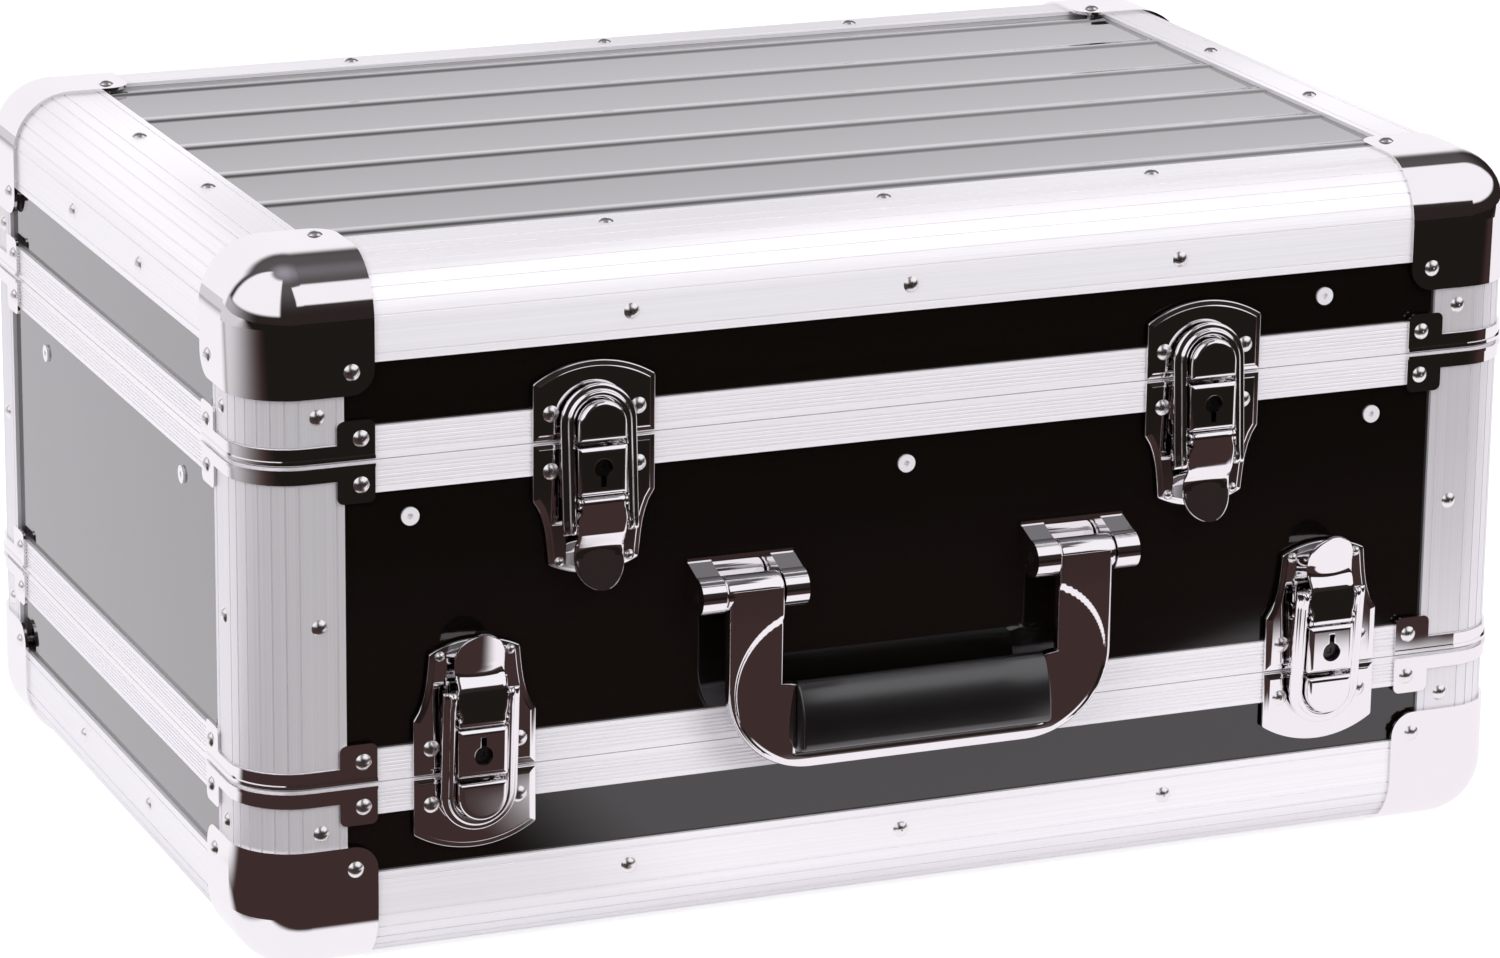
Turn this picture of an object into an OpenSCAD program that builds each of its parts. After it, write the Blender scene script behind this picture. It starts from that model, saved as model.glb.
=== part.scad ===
// Flight case for a mixer: base tray, middle frame and lid, each of laminated board in aluminium profiles.
// Millimetres. X runs along the width, the front looks to -Y, and the case stands on Z = 0.
// Places inside the case are measured from its outer planes: X from the middle, Y from the front plane
// backwards, Z from the bottom plane upwards.

/* [Case] */
// Width over the aluminium profiles
case_w = 500; // [440:1:700]
// Depth over the aluminium profiles
case_d = 332; // [280:1:520]
// Height of the base tray, from the bottom plane to the lower seam
base_h = 70; // [66:0.5:160]
// Height of the middle frame, from the lower to the upper seam
middle_h = 118.5; // [110:0.5:260]
// Height of the lid, from the upper seam to the top plane
lid_h = 71; // [66:0.5:200]
// Gap between the two rims at a seam
seam_gap = 0.3; // [0.2:0.05:0.6]

/* [Boards] */
// Thickness of the laminated board
board_t = 7; // [5:0.5:9]
// Play of a board in its slot, on each face
board_play = 0.05; // [0.02:0.01:0.1]
// Gap between the edge of a board and the bottom of its slot
board_end_gap = 0.3; // [0.2:0.05:0.6]
// Number of ribs along the lid top
rib_count = 6; // [3:1:6]
// Distance of the outer ribs from the flanges in front of and behind them
rib_end = 11.75; // [6:0.05:20]
// Width of a rib
rib_w = 6; // [4:0.5:10]
// Height of a rib
rib_h = 1.1; // [0.6:0.1:1.6]

/* [Edge profiles] */
// Reach of a flange from the outer plane that it meets
flange_w = 36; // [30:0.5:40]
// Wall of the aluminium profiles
alu_t = 1.5; // [1:0.1:2]
// Outer radius of the rounded edge
edge_r = 22; // [18:0.5:26]
// Number of fine grooves round the edge
groove_count = 7; // [4:1:9]
// Width of a groove
groove_w = 0.6; // [0.4:0.1:1]
// Depth of a groove
groove_d = 0.35; // [0.2:0.05:0.6]
// Distance of the last groove from the end of a flange
flange_groove_in = 3.2; // [2:0.1:5]

/* [Rim profiles] */
// Height of a rim band, from the seam
rim_h = 12; // [10:0.5:16]
// Height of a rim at the corners, where the post comes down to it
rim_corner_h = 6.6; // [6:0.1:8]
// Height of the solid head of a grooved rim
rim_head_h = 5.5; // [5:0.1:6.5]
// Height of the tongue above the seam
tongue_h = 3; // [2:0.1:3.4]
// Width of the tongue
tongue_w = 2.4; // [1.6:0.1:3]
// Play beside the tongue, on each side
tongue_play = 1; // [0.8:0.1:1.4]
// Play above the tongue
tongue_end_play = 0.6; // [0.4:0.1:1]
// Number of fine grooves in a rim band
rim_groove_count = 6; // [3:1:7]
// Distance of the first groove from the seam
rim_groove_from = 2.6; // [2:0.1:4]
// Distance from one rim groove to the next
rim_groove_pitch = 1.4; // [1:0.1:1.4]

/* [Ball corners] */
// Reach of a ball corner from the outer planes
corner_reach = 47; // [44:0.5:52]
// Thickness of a ball corner
corner_t = 1.2; // [0.8:0.1:1.6]
// Radius at the tip of each lobe
corner_tip_r = 9; // [5:0.5:11]
// Distance of the rivet in a lobe from the outer planes
corner_rivet_in = 38.6; // [37:0.1:40]

/* [Corner straps] */
// Gap between a strap and its seam
strap_off = 0.9; // [0.5:0.1:1.5]
// Height of the strap round the corner
strap_h = 5.5; // [4.5:0.1:6]
// Thickness of the strap
strap_t = 1; // [0.8:0.1:1.4]
// Height of the rolled edge beside the seam
bead_h = 1.2; // [0.8:0.1:1.6]
// How far the rolled edge stands off the strap
bead_t = 0.6; // [0.3:0.1:0.8]
// Where the end tab of a strap begins, from the outer plane
tab_from = 33; // [31:0.5:35]
// Where the end tab ends
tab_reach = 47; // [44:0.5:50]
// Height of the end tab
tab_h = 14.1; // [12:0.1:16]
// Radius at the corners of the end tab
tab_r = 2.5; // [1:0.1:4]
// Distance of the tab rivet from the outer plane
tab_rivet_in = 41.8; // [41:0.1:43]
// Distance of the tab rivet from the seam
tab_rivet_off = 8.35; // [7.6:0.05:8.8]

/* [Rivets] */
// Radius of a domed rivet head
rivet_r = 3; // [2.4:0.1:3.4]
// Height of a domed rivet head
rivet_h = 1.4; // [1:0.1:1.8]
// Radius of a rivet shank
shank_r = 1.6; // [1.2:0.1:2]
// Play round a shank
shank_play = 0.05; // [0.02:0.01:0.1]
// Distance of the flange rivets from the outer plane
flange_rivet_in = 26.4; // [26:0.1:28]
// Distance between the rivets along the width
wide_rivet_gap = 107.3; // [80:0.1:110]
// Distance between the two rivets along the depth
deep_rivet_gap = 85; // [60:1:110]
// Distance of a post rivet from the seam, in the lid and the base
post_rivet_off = 17; // [15:0.1:18.5]
// Radius of a pop rivet head
pop_r = 3.3; // [2.6:0.1:3.8]
// Height of a pop rivet head
pop_h = 0.8; // [0.6:0.1:1.2]
// Radius of the hole in a pop rivet
pop_hole_r = 1.1; // [0.8:0.1:1.3]

/* [Battens] */
// Height of a batten
batten_h = 16; // [12:1:20]
// Width of a batten, inwards from the board
batten_w = 18; // [12:1:22]
// Distance of the middle of a batten from the upper seam, downwards
batten_drop = 22.3; // [21:0.1:40]
// Distance of the outer pop rivets from the outer planes of the sides
pop_in = 60.4; // [55:0.1:90]
// Distance of the pop rivets from the middle of the sides
pop_deep = 87.5; // [60:0.5:105]
// Distance of the lid's pop rivet from the middle of the front
lid_pop_x = 168; // [150:1:190]
// Distance of the lid's pop rivet from the upper seam
lid_pop_up = 25; // [22:0.5:28]

/* [Pads] */
// Thickness of the pads in the lid and the base
pad_t = 12; // [6:1:25]
// Gap between a pad and what surrounds it
pad_gap = 0.3; // [0.2:0.1:1]

/* [Latches] */
// Distance of the upper latches from their common middle
upper_latch_x = 119.7; // [115:0.1:150]
// Place of that middle beside the middle of the case
upper_latch_mid = -2; // [-3:0.5:3]
// Distance of the lower latches from the outer planes, where they lie evenly
lower_latch_in = 81.4; // [79:0.1:95]
// How far they are shifted to the right together
lower_latch_mid = 2; // [-4:0.5:4]
// Width of the catch plate and the lever plate
latch_w = 46; // [44:0.5:50]
// Thickness of the plates
plate_t = 1.6; // [1:0.1:1.8]
// Gap between a plate and the seam
plate_gap = 0.5; // [0.3:0.1:1]
// Height of the catch plate at its middle
catch_h = 28.5; // [26:0.5:32]
// Height of the catch plate at its sides
catch_side_h = 21.5; // [18:0.5:22]
// Width of the edge that is turned down to the board
turn_w = 1.2; // [0.8:0.1:1.6]
// Half of the width of the raised catch
catch_r = 9.2; // [9:0.1:9.4]
// Distance from the seam to the middle of the catch's round end
catch_c = 6.6; // [5:0.1:7]
// Distance of the raised catch from the seam
catch_from = 1.2; // [0.6:0.1:2]
// How far the catch stands out of its plate
catch_out = 9; // [7:0.1:10]
// Length of the straight sides of the lever plate
lever_plate_side = 21; // [20:0.5:24]
// Length of the lever plate at its lower corners
lever_plate_low = 45.2; // [44:0.1:48]
// Length of the lever plate at its middle
lever_plate_h = 49.5; // [48:0.5:52]
// Width of the lever plate at its lower corners
lever_plate_low_w = 34; // [33:0.1:38]
// Half of the distance between the two rivets of a plate
plate_rivet_x = 16.5; // [16:0.1:18]
// Distance of the plate rivets from the seam
plate_rivet_off = 10.5; // [9:0.05:10.6]
// Half of the distance between the small low rivets of the lever plate
low_rivet_x = 13.2; // [12.6:0.1:14]
// Distance of the low rivets from the seam
low_rivet_off = 44.2; // [43:0.1:44.6]
// Radius of the low rivets
low_rivet_r = 1.9; // [1.5:0.1:2.2]

/* [Lock covers] */
// Width of the lock cover and the lever
lever_w = 18.6; // [18:0.1:18.8]
// Distance of the lock cover from the seam
cover_from = 0.8; // [0.6:0.1:1.5]
// Height of the lock cover above its plate
cover_out = 9; // [8:0.1:9.2]
// Gap between the lock cover and the lever
cover_gap = 0.4; // [0.3:0.05:0.8]
// Distance of the keyhole from the seam
key_off = 8.6; // [7:0.1:10]
// Radius of the round part of the keyhole
key_r = 3.4; // [2:0.1:4]
// Width of the slot of the keyhole
key_slot_w = 2; // [1.4:0.1:2.4]
// Length of the slot below the round part's middle
key_slot_l = 6.8; // [5:0.1:8]
// Depth of the keyhole
key_depth = 3; // [2:0.1:4]
// Depth of the lock core's face in the keyhole
core_in = 2; // [1:0.1:2.4]

/* [Levers] */
// Distance of the lever's pivot from the seam
lever_pivot_off = 21.2; // [21:0.1:23]
// Distance of the lever's pivot from the front plane
lever_pivot_out = 9; // [8.8:0.1:9.4]
// Radius of the rolled heel round the pivot
heel_r = 2.2; // [2:0.05:2.3]
// Radius of the lever's pin
lever_pin_r = 1.1; // [0.8:0.05:1.2]
// Play round the pins of the latch and the handle
pin_play = 0.05; // [0.03:0.01:0.1]
// Thickness of the lever's sheet
lever_t = 1.2; // [1:0.1:1.4]
// Distance from the pivot to where the cheeks begin
cheek_from = 3.4; // [3.2:0.1:4]
// Distance from the pivot to where the cheeks end
cheek_to = 12; // [11.5:0.5:13]
// Wall of the cheeks below the bail's stubs
cheek_wall = 1; // [0.8:0.1:1.4]
// Distance from the pivot to the first bend of the sheet
bend_at = 12; // [11:0.1:13]
// How much lower the first bend lies than the heel
bend_fall = 1.4; // [0.6:0.1:2]
// Distance from the pivot to the second bend, where the thumb tab begins
dip_at = 17.2; // [16:0.1:18.5]
// How much lower the second bend lies than the heel
dip_fall = 3.8; // [3:0.1:4.4]
// Distance from the pivot to the tip of the thumb tab
tip_at = 32.2; // [30:0.1:34]
// How much the thumb tab rises from the second bend to its tip
tab_rise = 3.8; // [2.5:0.1:5]
// Thickness of the ears that carry the pin
ear_t = 1; // [0.8:0.1:1.4]
// Play between the ears and the heel
ear_play = 0.25; // [0.2:0.05:0.4]

/* [Bails] */
// Play between the bail and the catch, and beside the lever
bail_play = 0.6; // [0.5:0.05:0.8]
// Width of the ring of the bail
bail_w = 4.6; // [4:0.05:4.8]
// Width of the raised inner half of the ring
bail_inner_w = 2.2; // [1.6:0.1:2.6]
// Slope of the bail, from its pivot down to the catch
bail_slope = 4.3; // [4:0.1:4.5]
// Thickness of the outer half of the ring
bail_low_t = 2.1; // [1.6:0.1:2.6]
// Thickness of the inner half of the ring
bail_t = 3.4; // [3:0.1:3.6]
// Distance from the lever's pivot to the bail's pivot, along the lever
bail_pivot_s = 8.8; // [8.5:0.1:9.2]
// Distance of the bail's pivot from the front plane
bail_pivot_out = 7.9; // [7.8:0.1:8.2]
// Length of the legs past the bail's pivot
bail_leg_past = 2; // [1.6:0.1:2.4]
// Radius of the stubs that the bail turns on
stub_r = 1; // [0.8:0.05:1.1]

/* [Handle] */
// Width of a mount
mount_w = 41; // [38:0.5:44]
// Height of the pivot above the lower seam
pivot_up = 58.6; // [56:0.1:62]
// Distance of the pivot from the front plane
pivot_out = 10.5; // [10:0.1:12]
// Radius of the round front of a mount
mount_r = 7; // [6.4:0.1:7.5]
// Height of the mount's top edge above the pivot
mount_top = 11.4; // [9:0.1:13]
// Thickness of the mount's back
mount_back_t = 3; // [2:0.1:3.4]
// Width of the flat arms
arm_w = 22.4; // [20:0.1:24]
// Thickness of the flat arms
arm_t = 5.5; // [4:0.1:6]
// Radius of the arm's rolled top
barrel_r = 6.5; // [6:0.1:6.8]
// Play between an arm and its mount
arm_play = 0.3; // [0.2:0.05:0.6]
// Radius of the handle's pins
handle_pin_r = 2.4; // [2:0.1:3]
// Outer width of the handle
handle_w = 151; // [130:0.1:170]
// How far the frame's sides lie inside the ends of the rolled tops
handle_side_in = 1.3; // [0.6:0.1:2]
// Reach of the handle below its pivot
handle_drop = 68; // [64:0.5:72]
// Outer radius at the handle's lower corners
handle_r = 33; // [26:0.5:36]
// Height of the bar below the grip
bar_h = 6.3; // [5:0.1:8]
// Length of the grip
grip_l = 98; // [90:0.5:100]
// Height of the grip
grip_h = 27; // [24:0.5:29]
// Thickness of the grip
grip_t = 19; // [16:0.5:20]
// Distance of the middle of the grip from the front plane
grip_out = 14.2; // [14:0.1:16]
// Radius of the swept face at the handle's lower corners
sweep_r = 29.5; // [26:0.1:30]
// How far the swept face is set back
sweep_d = 1; // [0.5:0.1:1.2]

/* [Hinges] */
// Distance of each hinge from the middle of the case
hinge_x = 140; // [120:1:150]
// Width of a hinge
hinge_w = 60; // [50:1:70]
// Height of a hinge leaf
leaf_h = 24; // [20:0.5:28]
// Thickness of a hinge leaf
leaf_t = 1.5; // [1.2:0.1:1.8]
// Radius of a knuckle
knuckle_r = 3.2; // [3:0.1:3.6]
// Gap between a knuckle and the back plane
knuckle_gap = 0.4; // [0.3:0.05:0.5]
// Radius of a hinge pin
hinge_pin_r = 1.5; // [1.2:0.1:1.8]
// Gap between two knuckles, and round a knuckle
knuckle_play = 0.3; // [0.2:0.05:0.5]
// Radius at the corners of a leaf
leaf_r = 3; // [1:0.5:4]

/* [Hidden] */

$fn = 48;
// Overrun of every cut
cut = 1;
// Gap between two pieces that meet end to end on one body
joint_gap = 0.05;
// Gap between the end of a post and the rim below it
post_gap = 0.2;

// Heights above the bottom plane
seam_low = base_h;
seam_high = base_h + middle_h;
case_h = base_h + middle_h + lid_h;
// Depths from an outer plane
board_in = alu_t + board_play;
board_back = board_in + board_t;
slot_in = board_back + board_play;
wall_t = slot_in + alu_t;
board_end = edge_r + board_end_gap;
trim_end = edge_r + board_end_gap;
post_end = rim_corner_h + post_gap;
half_w = case_w / 2;
half_d = case_d / 2;
// Distances from the middle of the case, and between the ribs
lower_latch_x = half_w - lower_latch_in;
pop_wide = half_w - pop_in;
mount_x = (handle_w - arm_w) / 2 + handle_side_in;
rib_pitch = (case_d - 2 * (flange_w + rib_end)) / (rib_count - 1);
// Places in front of and behind the case
lever_top = lever_pivot_out + heel_r;
hinge_out = knuckle_gap + knuckle_r;
reach_front = grip_out + grip_t / 2;
reach_back = hinge_out + knuckle_r;
front_y = (reach_front - reach_back - case_d) / 2;

module in_case() translate([0, front_y, corner_t]) children();

module left_and_right() {
  children();
  mirror([1, 0, 0]) children();
}

module front_and_back() {
  children();
  translate([0, case_d, 0]) mirror([0, 1, 0]) children();
}

module four_corners() left_and_right() front_and_back() children();

// Turns the axes round: x to y, y to z, z to x
module turn_axes(times) {
  if (times == 0) children();
  if (times == 1) rotate([90, 0, 90]) children();
  if (times == 2) rotate([90, 0, 90]) rotate([90, 0, 90]) children();
}

// Places on the outer faces, with the local z axis pointing outwards
module on_front(x, z, out = 0) translate([x, -out, z]) rotate([90, 0, 0]) children();
module on_left(y, z, out = 0) translate([-half_w - out, y, z]) rotate([0, -90, 0]) children();
module on_top(x, y, out = 0) translate([x, y, case_h + out]) children();
module on_back(x, z, out = 0) translate([x, case_d + out, z]) rotate([-90, 0, 0]) children();

// Rivets

module rivet(r = rivet_r) {
  ball_r = (r * r + rivet_h * rivet_h) / (2 * rivet_h);
  intersection() {
    translate([0, 0, rivet_h - ball_r]) sphere(ball_r);
    cylinder(r = r + cut, h = rivet_h + cut);
  }
  translate([0, 0, -wall_t]) cylinder(r = shank_r, h = wall_t + rivet_h / 2);
}

module shank_hole() translate([0, 0, -wall_t - cut]) cylinder(r = shank_r + shank_play, h = wall_t + 2 * cut);

module pop_rivet() {
  difference() {
    union() {
      cylinder(r = pop_r, h = pop_h);
      translate([0, 0, -wall_t]) cylinder(r = shank_r, h = wall_t + pop_h / 2);
    }
    translate([0, 0, -pop_h]) cylinder(r = pop_hole_r, h = 2 * pop_h + cut);
  }
}

// Rivets of a box that has ball corners: the lid as it stands, the base turned over
module capped_rivet_spots(seam, h, with_top) {
  front_and_back() for (i = [-1 : 1]) {
    on_front(i * wide_rivet_gap, seam + h - flange_rivet_in) children();
    if (with_top) translate([0, 0, seam + h - case_h]) on_top(i * wide_rivet_gap, flange_rivet_in) children();
  }
  left_and_right() for (i = [-1, 1]) {
    y = half_d + i * deep_rivet_gap / 2;
    on_left(y, seam + h - flange_rivet_in) children();
    if (with_top) translate([0, 0, seam + h - case_h]) on_top(flange_rivet_in - half_w, y) children();
  }
  four_corners() {
    on_front(flange_rivet_in - half_w, seam + post_rivet_off) children();
    on_left(flange_rivet_in, seam + post_rivet_off) children();
    on_front(corner_rivet_in - half_w, seam + h - corner_rivet_in, corner_t) children();
    on_left(corner_rivet_in, seam + h - corner_rivet_in, corner_t) children();
    if (with_top) translate([0, 0, seam + h - case_h])
      on_top(corner_rivet_in - half_w, corner_rivet_in, corner_t) children();
  }
}

module strap_rivet_spots(seam) four_corners() {
  on_front(tab_rivet_in - half_w, seam + tab_rivet_off, strap_t) children();
  on_left(tab_rivet_in, seam + tab_rivet_off, strap_t) children();
}

module hinge_rivet_spots(seam) left_and_right() for (i = [-1, 1])
  on_back(hinge_x + i * hinge_w / 3, seam + leaf_h * 2 / 3, leaf_t) children();

module below(seam) translate([0, 0, 2 * seam]) mirror([0, 0, 1]) children();

module lid_rivet_spots() {
  capped_rivet_spots(seam_high, lid_h, true) children();
  strap_rivet_spots(seam_high) children();
  hinge_rivet_spots(seam_high) children();
  for (s = [-1, 1]) at_upper(s) catch_rivet_spots() children();
}

module base_rivet_spots() {
  below(seam_low) capped_rivet_spots(seam_low, base_h, false) children();
  below(seam_low) strap_rivet_spots(seam_low) children();
  below(seam_low) hinge_rivet_spots(seam_low) children();
  for (s = [-1, 1]) at_lower(s) catch_rivet_spots() children();
}

module middle_rivet_spots() {
  four_corners() {
    on_front(flange_rivet_in - half_w, seam_low + middle_h / 2) children();
    on_left(flange_rivet_in, seam_low + middle_h / 2) children();
  }
  strap_rivet_spots(seam_low) children();
  below(seam_high) strap_rivet_spots(seam_high) children();
  hinge_rivet_spots(seam_low) children();
  below(seam_high) hinge_rivet_spots(seam_high) children();
  for (s = [-1, 1]) at_upper(s) mirror([0, 1, 0]) catch_rivet_spots() children();
  for (s = [-1, 1]) at_lower(s) mirror([0, 1, 0]) catch_rivet_spots() children();
}

module low_rivet_spots() for (s = [-1, 1], i = [-1, 1]) {
  at_upper(s) translate([i * low_rivet_x, -low_rivet_off, plate_t]) children();
  at_lower(s) translate([i * low_rivet_x, -low_rivet_off, plate_t]) children();
}

module pop_spots() {
  z = seam_high - batten_drop;
  for (i = [-1 : 1]) on_front(i * pop_wide, z, -board_in) children();
  left_and_right() for (i = [-1, 1]) on_left(half_d + i * pop_deep, z, -board_in) children();
}

module lid_pop_spot() on_front(lid_pop_x, seam_high + lid_pop_up, -board_in) children();

// Boards, each between two heights

module front_board(z0, z1)
  translate([board_end - half_w, board_in, z0]) cube([case_w - 2 * board_end, board_t, z1 - z0]);

module left_board(z0, z1)
  translate([board_in - half_w, board_end, z0]) cube([board_t, case_d - 2 * board_end, z1 - z0]);

module level_board() translate([board_end - half_w, board_end, board_in])
  cube([case_w - 2 * board_end, case_d - 2 * board_end, board_t]);

module lid_holes() {
  lid_rivet_spots() shank_hole();
  lid_pop_spot() shank_hole();
}

module base_holes() base_rivet_spots() shank_hole();

module middle_holes() {
  middle_rivet_spots() shank_hole();
  low_rivet_spots() shank_hole();
  pop_spots() shank_hole();
}

// A tongued rim's boards end at its thin head, a grooved rim's at its solid head
thin_end = seam_gap / 2 + alu_t + joint_gap;
solid_end = rim_head_h + joint_gap;
base_board_z = [board_end, seam_low - thin_end];
middle_board_z = [seam_low + solid_end, seam_high - thin_end];
lid_board_z = [seam_high + solid_end, case_h - board_end];

module to_back() translate([0, case_d, 0]) mirror([0, 1, 0]) children();
module to_right() mirror([1, 0, 0]) children();

module base_floor_board() color("dimgray") in_case() difference() {
  level_board();
  base_holes();
}
module base_front_board() color("black") in_case() difference() {
  front_board(base_board_z[0], base_board_z[1]);
  base_holes();
}
module base_back_board() color("black") in_case() difference() {
  to_back() front_board(base_board_z[0], base_board_z[1]);
  base_holes();
}
module base_left_board() color("dimgray") in_case() difference() {
  left_board(base_board_z[0], base_board_z[1]);
  base_holes();
}
module base_right_board() color("dimgray") in_case() difference() {
  to_right() left_board(base_board_z[0], base_board_z[1]);
  base_holes();
}
module middle_front_board() color("black") in_case() difference() {
  front_board(middle_board_z[0], middle_board_z[1]);
  middle_holes();
}
module middle_back_board() color("black") in_case() difference() {
  to_back() front_board(middle_board_z[0], middle_board_z[1]);
  middle_holes();
}
module middle_left_board() color("dimgray") in_case() difference() {
  left_board(middle_board_z[0], middle_board_z[1]);
  middle_holes();
}
module middle_right_board() color("dimgray") in_case() difference() {
  to_right() left_board(middle_board_z[0], middle_board_z[1]);
  middle_holes();
}
module lid_front_board() color("black") in_case() difference() {
  front_board(lid_board_z[0], lid_board_z[1]);
  lid_holes();
}
module lid_back_board() color("black") in_case() difference() {
  to_back() front_board(lid_board_z[0], lid_board_z[1]);
  lid_holes();
}
module lid_left_board() color("dimgray") in_case() difference() {
  left_board(lid_board_z[0], lid_board_z[1]);
  lid_holes();
}
module lid_right_board() color("dimgray") in_case() difference() {
  to_right() left_board(lid_board_z[0], lid_board_z[1]);
  lid_holes();
}

// The ribs are segments of round bars, between the side flanges
module lid_top_board() color("gray") in_case() difference() {
  rib_r = (rib_w * rib_w / 4 + rib_h * rib_h) / (2 * rib_h);
  rib_l = case_w - 2 * (flange_w + joint_gap);
  union() {
    translate([0, 0, case_h]) mirror([0, 0, 1]) level_board();
    for (i = [0 : rib_count - 1]) {
      y = half_d + (i - (rib_count - 1) / 2) * rib_pitch;
      intersection() {
        translate([-rib_l / 2, y, case_h - board_in + rib_h - rib_r]) rotate([0, 90, 0])
          cylinder(r = rib_r, h = rib_l);
        translate([-rib_l / 2, y - rib_w, case_h - board_back + alu_t]) cube([rib_l, 2 * rib_w, board_t]);
      }
    }
  }
  lid_holes();
}

// Edge profiles and posts: rounded skin, two flanges, and an inner angle that grips the boards

module edge_grooves() {
  for (i = [0 : groove_count - 1])
    translate([edge_r, edge_r]) rotate(180 + 90 * (i + 1 / 2) / groove_count)
      translate([edge_r - groove_d, -groove_w / 2]) square([2 * groove_d, groove_w]);
  translate([flange_w - flange_groove_in, -groove_d]) square([groove_w, 2 * groove_d]);
  translate([-groove_d, flange_w - flange_groove_in]) square([2 * groove_d, groove_w]);
}

module edge_section() difference() {
  union() {
    translate([edge_r, 0]) square([flange_w - edge_r, alu_t]);
    translate([0, edge_r]) square([alu_t, flange_w - edge_r]);
    translate([edge_r, edge_r]) intersection() {
      difference() {
        circle(edge_r);
        circle(edge_r - alu_t);
      }
      translate([-edge_r, -edge_r]) square(edge_r);
    }
    translate([slot_in, slot_in]) square([flange_w - slot_in, alu_t]);
    translate([slot_in, slot_in]) square([alu_t, flange_w - slot_in]);
    translate([edge_r - alu_t, alu_t / 2]) square([alu_t, slot_in]);
    translate([alu_t / 2, edge_r - alu_t]) square([slot_in, alu_t]);
  }
  edge_grooves();
}

// Cuts a flange back where it would cross the flange of the next profile at a corner
module mitre_wedge() {
  reach = flange_w + cut;
  translate([0, reach, 0]) rotate([90, 0, 0]) linear_extrude(reach + cut)
    polygon([[0, 0], [reach, 0], [reach, reach]]);
}

module mitre() {
  mitre_wedge();
  mirror([1, -1, 0]) mitre_wedge();
}

// A profile whose corner line runs along z, from 0 to the corner plane at length
module edge_bar(from, length, both = true) difference() {
  to = length - trim_end;
  translate([0, 0, from]) linear_extrude(to - from) edge_section();
  if (both) mitre();
  translate([0, 0, length]) mirror([0, 0, 1]) mitre();
}

module top_edges() {
  front_and_back() translate([-half_w, 0, case_h]) rotate([0, 90, 0]) edge_bar(trim_end, case_w);
  left_and_right() translate([-half_w, 0, case_h]) rotate([-90, 0, 0]) edge_bar(trim_end, case_d);
}

module lid_edges() color("silver") in_case() difference() {
  top_edges();
  lid_holes();
}

module base_edges() color("silver") in_case() difference() {
  translate([0, 0, case_h]) mirror([0, 0, 1]) top_edges();
  base_holes();
}

module lid_posts() color("silver") in_case() difference() {
  four_corners() translate([-half_w, 0, seam_high]) edge_bar(post_end, lid_h, false);
  lid_holes();
}

module base_posts() color("silver") in_case() difference() {
  below(seam_low) four_corners() translate([-half_w, 0, seam_low]) edge_bar(post_end, base_h, false);
  base_holes();
}

module middle_posts() color("silver") in_case() difference() {
  four_corners() translate([-half_w, 0, seam_low + post_end])
    linear_extrude(middle_h - 2 * post_end) edge_section();
  middle_holes();
}

// Rims at the seams, drawn with the depth along x and the distance from the seam along y

module rim_section(head_h, band_h) difference() {
  union() {
    translate([0, seam_gap / 2]) square([wall_t, head_h - seam_gap / 2]);
    translate([0, seam_gap / 2]) square([alu_t, band_h - seam_gap / 2]);
    translate([slot_in, seam_gap / 2]) square([alu_t, band_h - seam_gap / 2]);
  }
  for (i = [0 : rim_groove_count - 1])
    translate([-groove_d, rim_groove_from + i * rim_groove_pitch]) square([2 * groove_d, groove_w]);
}

module tongued_section(band_h) {
  rim_section(seam_gap / 2 + alu_t, band_h);
  translate([(wall_t - tongue_w) / 2, -tongue_h]) square([tongue_w, tongue_h + alu_t]);
}

module grooved_section(band_h) difference() {
  rim_section(rim_head_h, band_h);
  translate([(wall_t - tongue_w) / 2 - tongue_play, -cut])
    square([tongue_w + 2 * tongue_play, tongue_h + tongue_end_play + cut]);
}

module section_of(tongued, band_h) {
  if (tongued) tongued_section(band_h);
  if (!tongued) grooved_section(band_h);
}

// Four straight runs and four bent corners, standing above the seam at height 0
module rim(tongued) {
  ends = edge_r + joint_gap;
  front_and_back() difference() {
    translate([ends - half_w, 0, 0]) rotate([90, 0, 90])
      linear_extrude(case_w - 2 * ends) section_of(tongued, rim_h);
    left_and_right() translate([-half_w, -cut, rim_corner_h])
      cube([flange_w + post_gap, wall_t + 2 * cut, rim_h]);
  }
  left_and_right() difference() {
    translate([-half_w, case_d - ends, 0]) rotate([90, 0, 0])
      linear_extrude(case_d - 2 * ends) section_of(tongued, rim_h);
    front_and_back() translate([-half_w - cut, 0, rim_corner_h])
      cube([wall_t + 2 * cut, flange_w + post_gap, rim_h]);
  }
  four_corners() translate([edge_r - half_w, edge_r, 0]) rotate([0, 0, 180])
    rotate_extrude(angle = 90) translate([edge_r, 0]) mirror([1, 0]) section_of(tongued, rim_corner_h);
}

module base_rim() color("gainsboro") in_case() difference() {
  translate([0, 0, seam_low]) mirror([0, 0, 1]) rim(true);
  base_holes();
}

module middle_lower_rim() color("gainsboro") in_case() difference() {
  translate([0, 0, seam_low]) rim(false);
  middle_holes();
}

module middle_upper_rim() color("gainsboro") in_case() difference() {
  translate([0, 0, seam_high]) mirror([0, 0, 1]) rim(true);
  middle_holes();
}

module lid_rim() color("gainsboro") in_case() difference() {
  translate([0, 0, seam_high]) rim(false);
  lid_holes();
}

// Ball corners: an eighth of a ball, three bent sides and three flat lobes

module corner_arc(inner, outer) intersection() {
  difference() {
    circle(outer);
    circle(inner);
  }
  translate([-outer, -outer]) square(outer);
}

module lobe() {
  side = corner_reach - edge_r;
  translate([edge_r, edge_r]) {
    square([side, side - corner_tip_r]);
    square([side - corner_tip_r, side]);
    translate([side - corner_tip_r, side - corner_tip_r]) circle(corner_tip_r);
  }
}

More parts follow.
